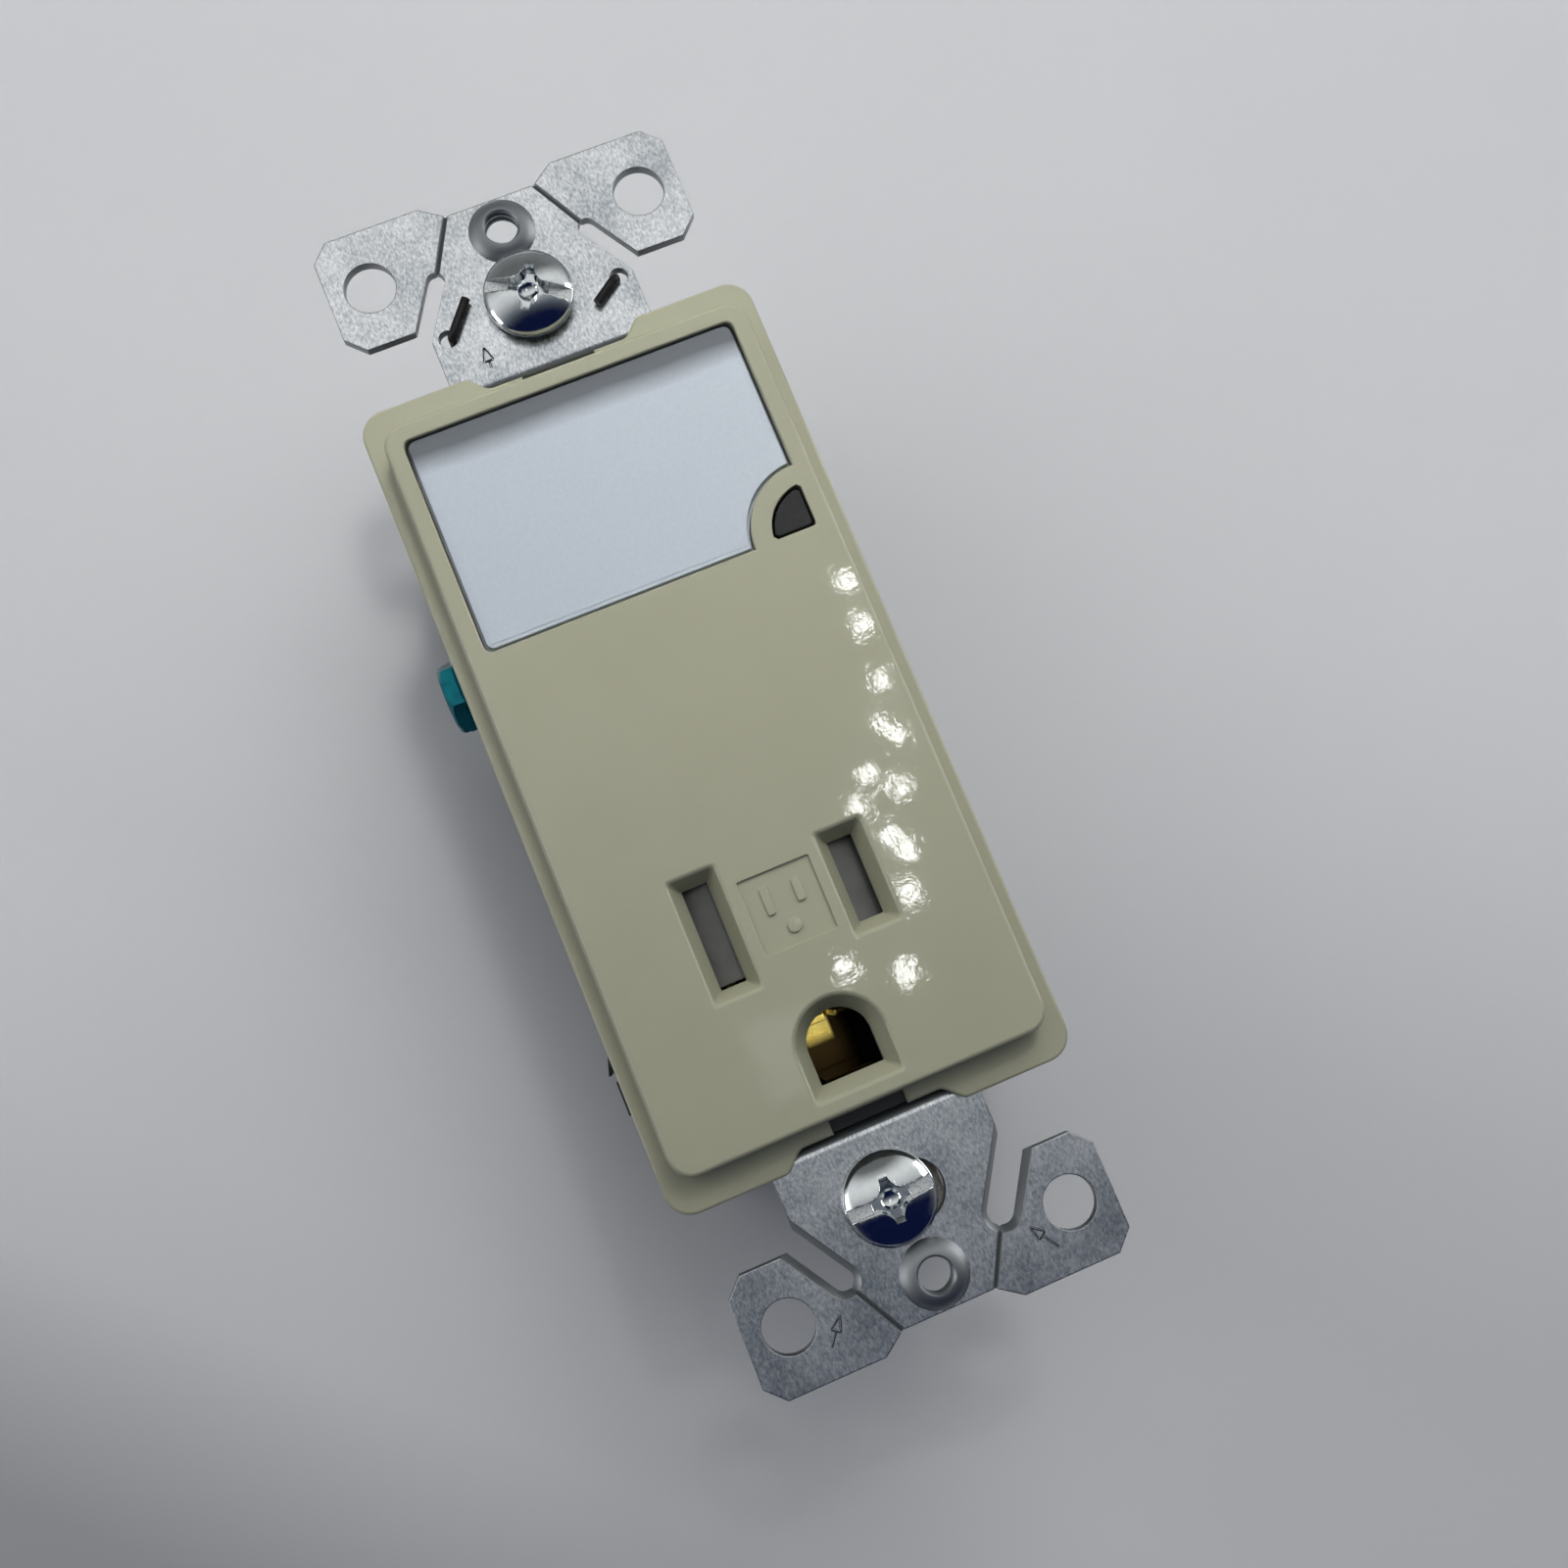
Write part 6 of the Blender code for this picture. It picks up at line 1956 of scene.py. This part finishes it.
@dataclass
class Terminals:
    """Wire terminals on both sides, and the green ground screw on the strap's tab."""

    threads: ThreadRule
    screw: Fastener = Fastener(
        head_r=3.9, rim=1.1, dome=0.8, shank_r=2.0, length=5.9, pitch=0.8, slot_w=1.1, slot_depth=0.9, tip=0.6
    )
    axis: Point = (-17.2, 13.0)
    seat_x: float = 16.6
    ground_axis: Point = (14.3, 13.0)
    ground_seat: float = -18.0
    hex_w: float = 6.35
    hex_h: float = 1.7
    hex_turn: float = -22.0
    washer_r: float = 4.6
    washer_h: float = 0.9
    ground_slot: Point = (0.6, 1.0)
    ground_shank: Fastener = Fastener(
        head_r=2.2, rim=0.1, dome=0.1, shank_r=2.2, length=5.5, pitch=0.8, slot_w=0.1, slot_depth=0.05
    )

    def ground_head(self) -> Mesh:
        """The hexagon head on its washer, slotted.

        Returns:
            Its mesh, with its seat at the origin.
        """
        top = self.washer_h + self.hex_h
        rim = [(0.0, self.washer_h + 0.2), (3.4, self.washer_h + 0.2), (3.75, self.washer_h)]
        rim += [(4.35, self.washer_h * 0.75), (self.washer_r, 0.45), (self.washer_r, 0.12)]
        rim += [(4.45, 0.0), (0.0, 0.0)]
        corner = self.hex_w / math.sqrt(3)
        nut = plate(circle((0.0, 0.0), corner, 6), 0.3, top)
        wide = corner + 0.02
        dome = [(0.0, top), (self.hex_w / 2 - 0.25, top), (wide, top - 0.55), (wide, 0.1), (0.0, 0.1)]
        nut = combined(nut, Operation.KEEP, [revolve(dome)])
        nut.transform(Matrix.Rotation(math.radians(self.hex_turn), 4, "Z"))
        (half, deep), long = self.ground_slot, corner + OVER
        slot = plate(rounded_rectangle((-half, half), (-long, long), 0.05, 2), top - deep, top + OVER)
        nut = combined(nut, Operation.CUT, [slot])
        return joined([shaded(revolve(rim)), shaded(nut, edge=0.1, sharp=25.0)])

    def dress(self) -> None:
        """Adds the terminals to the object."""
        sides = (
            ("neutral", Side.NEUTRAL, NICKEL, Body.NEUTRAL_CLAMP, Body.NEUTRAL_SCREW),
            ("hot", Side.HOT, BRASS, Body.HOT_CLAMP, Body.HOT_SCREW),
        )
        for name, side, finish, clamp, screw in sides:
            outward = Matrix.Rotation(side.value * QUARTER, 4, "Y") @ Matrix.Rotation(QUARTER, 4, "Z")
            spot = (side.value * self.seat_x, *self.axis)
            mesh = moved(self.screw.build(self.threads, finish), spot, outward)
            place(f"{name}_terminal_screw", mesh, finish, screw, f"{name}_screw")
            soften_node(f"{name}_clamp", f"{name}_clamp_plate", NICKEL, clamp, 0.15)
            soften_node(f"{name}_contact", f"{name}_contact_strip", BRASS, Body.DEVICE, 0.1)
        soften_node("ground_contact", "ground_contact_strip", SOCKET_BRASS, Body.DEVICE, 0.1)
        shank = self.ground_shank.build(self.threads, GREEN_ZINC)
        spot, outward = (self.ground_seat, *self.ground_axis), Matrix.Rotation(-QUARTER, 4, "Y")
        green = moved(joined([self.ground_head(), shank]), spot, outward)
        place("green_ground_screw", green, GREEN_ZINC, Body.GROUND_SCREW, "ground_screw")


@dataclass
class ShutterSet:
    """Shutters behind the blade slots, their frame and the spring between them."""

    spring_x: float = 3.9
    spring_at: Point = (-16.2, 28.8)
    coil_r: float = 0.5
    wire_r: float = 0.12
    turns: float = 7.0
    pressed: float = 0.16

    def dress(self) -> None:
        """Adds the shutters to the object."""
        soften_node("neutral_shutter", "neutral_shutter_slide", GREY, Body.NEUTRAL_SHUTTER, 0.12)
        soften_node("hot_shutter", "hot_shutter_slide", GREY, Body.HOT_SHUTTER, 0.12)
        soften_node("shutter_frame", "shutter_guide", WHITE, Body.DEVICE, 0.1)
        coil = CoilRule().mesh(
            Radius=self.coil_r * MM,
            Height=2 * self.spring_x * MM,
            Turns=self.turns,
            Wire=self.wire_r * MM,
            Material=SPRING.material(),
        )
        coil = moved(coil, (-self.spring_x, *self.spring_at), Matrix.Rotation(QUARTER, 4, "Y"))
        spring = place("shutter_coil", shaded(coil), SPRING, Body.DEVICE, "shutter_spring")
        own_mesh(spring)


@dataclass
class HousingMoulding:
    """The black rear housing with the screws that hold it to the cover."""

    threads: ThreadRule
    screw: Fastener = Fastener(
        head_r=2.0, rim=0.9, dome=0.5, shank_r=1.1, length=23.0, pitch=0.9, slot_w=0.6, slot_depth=0.5,
        cross_l=0.9, tip=1.1,
    )
    span: Point = (24.4, 35.9)
    middle_y: float = -11.95
    seat: float = 3.0

    def dress(self) -> None:
        """Adds the housing and its screws to the object."""
        soften_node("rear_housing", "housing_moulding", BLACK, Body.DEVICE, 0.09)
        one = self.screw.build(self.threads, BRIGHT_ZINC)
        one.transform(Matrix.Rotation(math.pi, 4, "X"))
        four = FastenerGridRule().mesh(
            one, Size_X=self.span[0] * MM, Size_Y=self.span[1] * MM, Material=BRIGHT_ZINC.material()
        )
        four = moved(four, (0.0, self.middle_y, self.seat))
        nodes = [f"assembly_screw_{i}" for i in range(1, 5)]
        place("assembly_screws", four, BRIGHT_ZINC, Body.DEVICE, *nodes)


@dataclass(frozen=True)
class PhotoCamera:
    """The camera, where the photograph was taken from."""

    spot: Place = (-9.1794, -20.6702, 159.7641)
    right: Place = (0.921797, -0.384216, 0.051657)
    up: Place = (0.3746, 0.917081, 0.136516)
    back: Place = (-0.099825, -0.10649, 0.98929)
    sensor: float = 36.0
    lens: float = 36.06
    near: float = 0.005

    def build(self) -> None:
        """Adds the camera and makes it the scene's."""
        data = bpy.data.cameras.new("photo_camera")
        data.sensor_width = self.sensor
        data.lens = self.lens
        data.clip_start = self.near
        camera = linked("photo_camera", data)
        turn = Matrix((self.right, self.up, self.back)).transposed().to_4x4()
        camera.matrix_world = Matrix.Translation(Vector(self.spot) * MM) @ turn
        bpy.context.scene.camera = camera


class LampUse(Enum):
    """What a lamp adds to the picture."""

    ALL = "light and its mirror image"
    SOFT = "light without a mirror image"
    GLINT = "a mirror image without light"


@dataclass(frozen=True)
class Lamp:
    """A lamp that faces a point on the device."""

    name: str
    spot: Place
    size: Point
    power: float
    colour: Colour = (1.0, 1.0, 1.0)
    target: Place = (0.0, 0.0, 0.03)
    along: Place = (0.0, 1.0, 0.0)
    use: LampUse = LampUse.ALL
    spread: float = 180.0

    def build(self) -> None:
        """Adds the lamp to the scene."""
        data = bpy.data.lights.new(self.name, "AREA")
        data.shape = "RECTANGLE"
        data.size, data.size_y = self.size
        data.energy = self.power
        data.color = self.colour
        data.spread = math.radians(self.spread)
        lamp = linked(self.name, data)
        back = (Vector(self.spot) - Vector(self.target)).normalized()
        across = Vector(self.along).cross(back).normalized()
        turn = Matrix((across, back.cross(across), back)).transposed().to_4x4()
        lamp.matrix_world = Matrix.Translation(self.spot) @ turn
        lamp.visible_glossy = self.use is not LampUse.SOFT
        lamp.visible_diffuse = self.use is not LampUse.GLINT


@dataclass(frozen=True)
class Studio:
    """The pale floor, the lamps and the light round them."""

    floor_half: float = 1.5
    floor_level: float = -0.00005
    # floor with a painted shadow that deepens towards -X and -Y
    floor: Finish = GradedFloor(
        "floor", (0.72, 0.732, 0.752), (0.738, 0.75, 0.77), 60.0, (0.5, 0.6), ior=1.1, grain_size=1.5,
        grain_depth=0.01, wave_size=120.0, wave_depth=0.6,
    )
    sky: tuple[tuple[float, Colour], ...] = (
        (-0.45, (0.004, 0.008, 0.04)),
        (-0.28, (0.06, 0.068, 0.09)),
        (-0.16, (0.148, 0.17, 0.20)),
        (0.0, (0.37, 0.378, 0.386)),
        (0.2, (0.70, 0.71, 0.715)),
        (0.42, (0.90, 0.91, 0.915)),
        (0.54, (0.78, 0.79, 0.795)),
        (0.74, (0.17, 0.175, 0.175)),
        (1.0, (0.15, 0.155, 0.155)),
    )
    backdrop: Colour = (0.62, 0.63, 0.65)
    haze: Colour = (0.24, 0.24, 0.24)
    haze_top: float = 0.34
    haze_y: Point = (-0.75, -0.35)
    lamps: tuple[Lamp, ...] = (
        Lamp("top_lamp", (0.11, 0.17, 0.36), (0.22, 0.22), 0.27, WARM, use=LampUse.SOFT),
        Lamp("key_lamp", (0.16, 0.26, 0.26), (0.12, 0.12), 0.24, WARM, use=LampUse.SOFT),
        Lamp("fill_lamp", (-0.22, 0.24, 0.22), (0.14, 0.14), 0.13, WARM, use=LampUse.SOFT),
        Lamp(
            "beam_lamp", (0.1975, 0.3505, 0.418), (0.5, 0.3), 0.165, WARM, (0.085, 0.148, 0.032),
            along=(0.486, 0.874, 0.0), use=LampUse.SOFT, spread=13.0,
        ),
        Lamp("right_glint", (0.60, 0.06, 0.17), (0.2, 0.3), 0.8, use=LampUse.GLINT),
        Lamp("left_glint", (-0.62, 0.06, 0.20), (0.2, 0.3), 0.6, use=LampUse.GLINT),
        Lamp("glow_lamp", (0.04, -0.08, 1.03), (0.06, 0.06), 0.0095, target=(0.04, -0.08, 0.0)),
    )
    glints: tuple[Point, ...] = (
        (15.1, 6.9), (14.8, 3.0), (14.6, -1.8), (13.2, -5.3), (14.1, -6.7), (10.3, -8.9),
        (12.4, -10.8), (8.6, -11.1), (10.2, -14.1), (11.1, -15.6), (9.6, -19.1), (2.6, -22.7), (7.1, -25.0),
    )
    ceiling: float = 1.03
    ceiling_size: Point = (0.011, 0.015)
    ceiling_power: float = 0.012

    def ceiling_lamps(self) -> list[Lamp]:
        """Small ceiling lamps, each where the camera sees it mirrored in a spot of the glossy face.

        Returns:
            The lamps.
        """
        eye = Vector(PhotoCamera.spot) * MM
        row = []
        for i, glint in enumerate(self.glints):
            spot = Vector((*glint, LEVELS.face_top)) * MM
            lamp = spot + (spot - eye) * ((self.ceiling - spot.z) / (eye.z - spot.z))
            above, below = ((lamp.x, lamp.y, level) for level in (self.ceiling, 0.0))
            size, power = self.ceiling_size, self.ceiling_power
            row.append(Lamp(f"ceiling_lamp_{i}", above, size, power, target=below))
        return row

    def build(self) -> None:
        """Adds the floor, the lamps and the world."""
        bm = bmesh.new()
        bmesh.ops.create_grid(bm, x_segments=1, y_segments=1, size=self.floor_half)
        mesh = mesh_from(bm)
        mesh.transform(Matrix.Translation((0, 0, self.floor_level)))
        mesh.materials.append(self.floor.material())
        floor = linked("floor", mesh)
        for lamp in (*self.lamps, *self.ceiling_lamps()):
            lamp.build()
        world = bpy.data.worlds.new("studio")
        world.use_nodes = True
        bpy.context.scene.world = world
        wiring = Wiring(world.node_tree)
        apart = wiring.node("ShaderNodeSeparateXYZ")
        wiring.feed(wiring.node("ShaderNodeTexCoord").outputs["Generated"], apart.inputs[0])
        background = world.node_tree.nodes["Background"]
        low = wiring.spread(apart.outputs["Z"], 0.0, self.haze_top, 1.0, 0.0)
        hazy = wiring.math("MULTIPLY", low, wiring.spread(apart.outputs["Y"], *self.haze_y))
        sky = wiring.blend(hazy, wiring.ramp(apart.outputs["Y"], self.sky), self.haze)
        seen = wiring.node("ShaderNodeLightPath").outputs["Is Camera Ray"]
        wiring.feed(wiring.blend(seen, sky, self.backdrop), background.inputs["Color"])
        bpy.context.scene.view_settings.view_transform = "Standard"


def main() -> None:
    """Builds the scene in order."""
    logging.basicConfig(level=logging.INFO, format="%(name)s: %(message)s")
    PhotoCamera().build()
    Studio().build()
    threads = ThreadRule()
    cover = CoverMoulding()
    cover.dress()
    NightLight(cover).dress()
    StrapStamping(threads).dress()
    GroundingClip().dress()
    BoxScrews(threads).dress()
    Terminals(threads).dress()
    ShutterSet().dress()
    HousingMoulding(threads).dress()


if __name__ == "__main__":
    main()
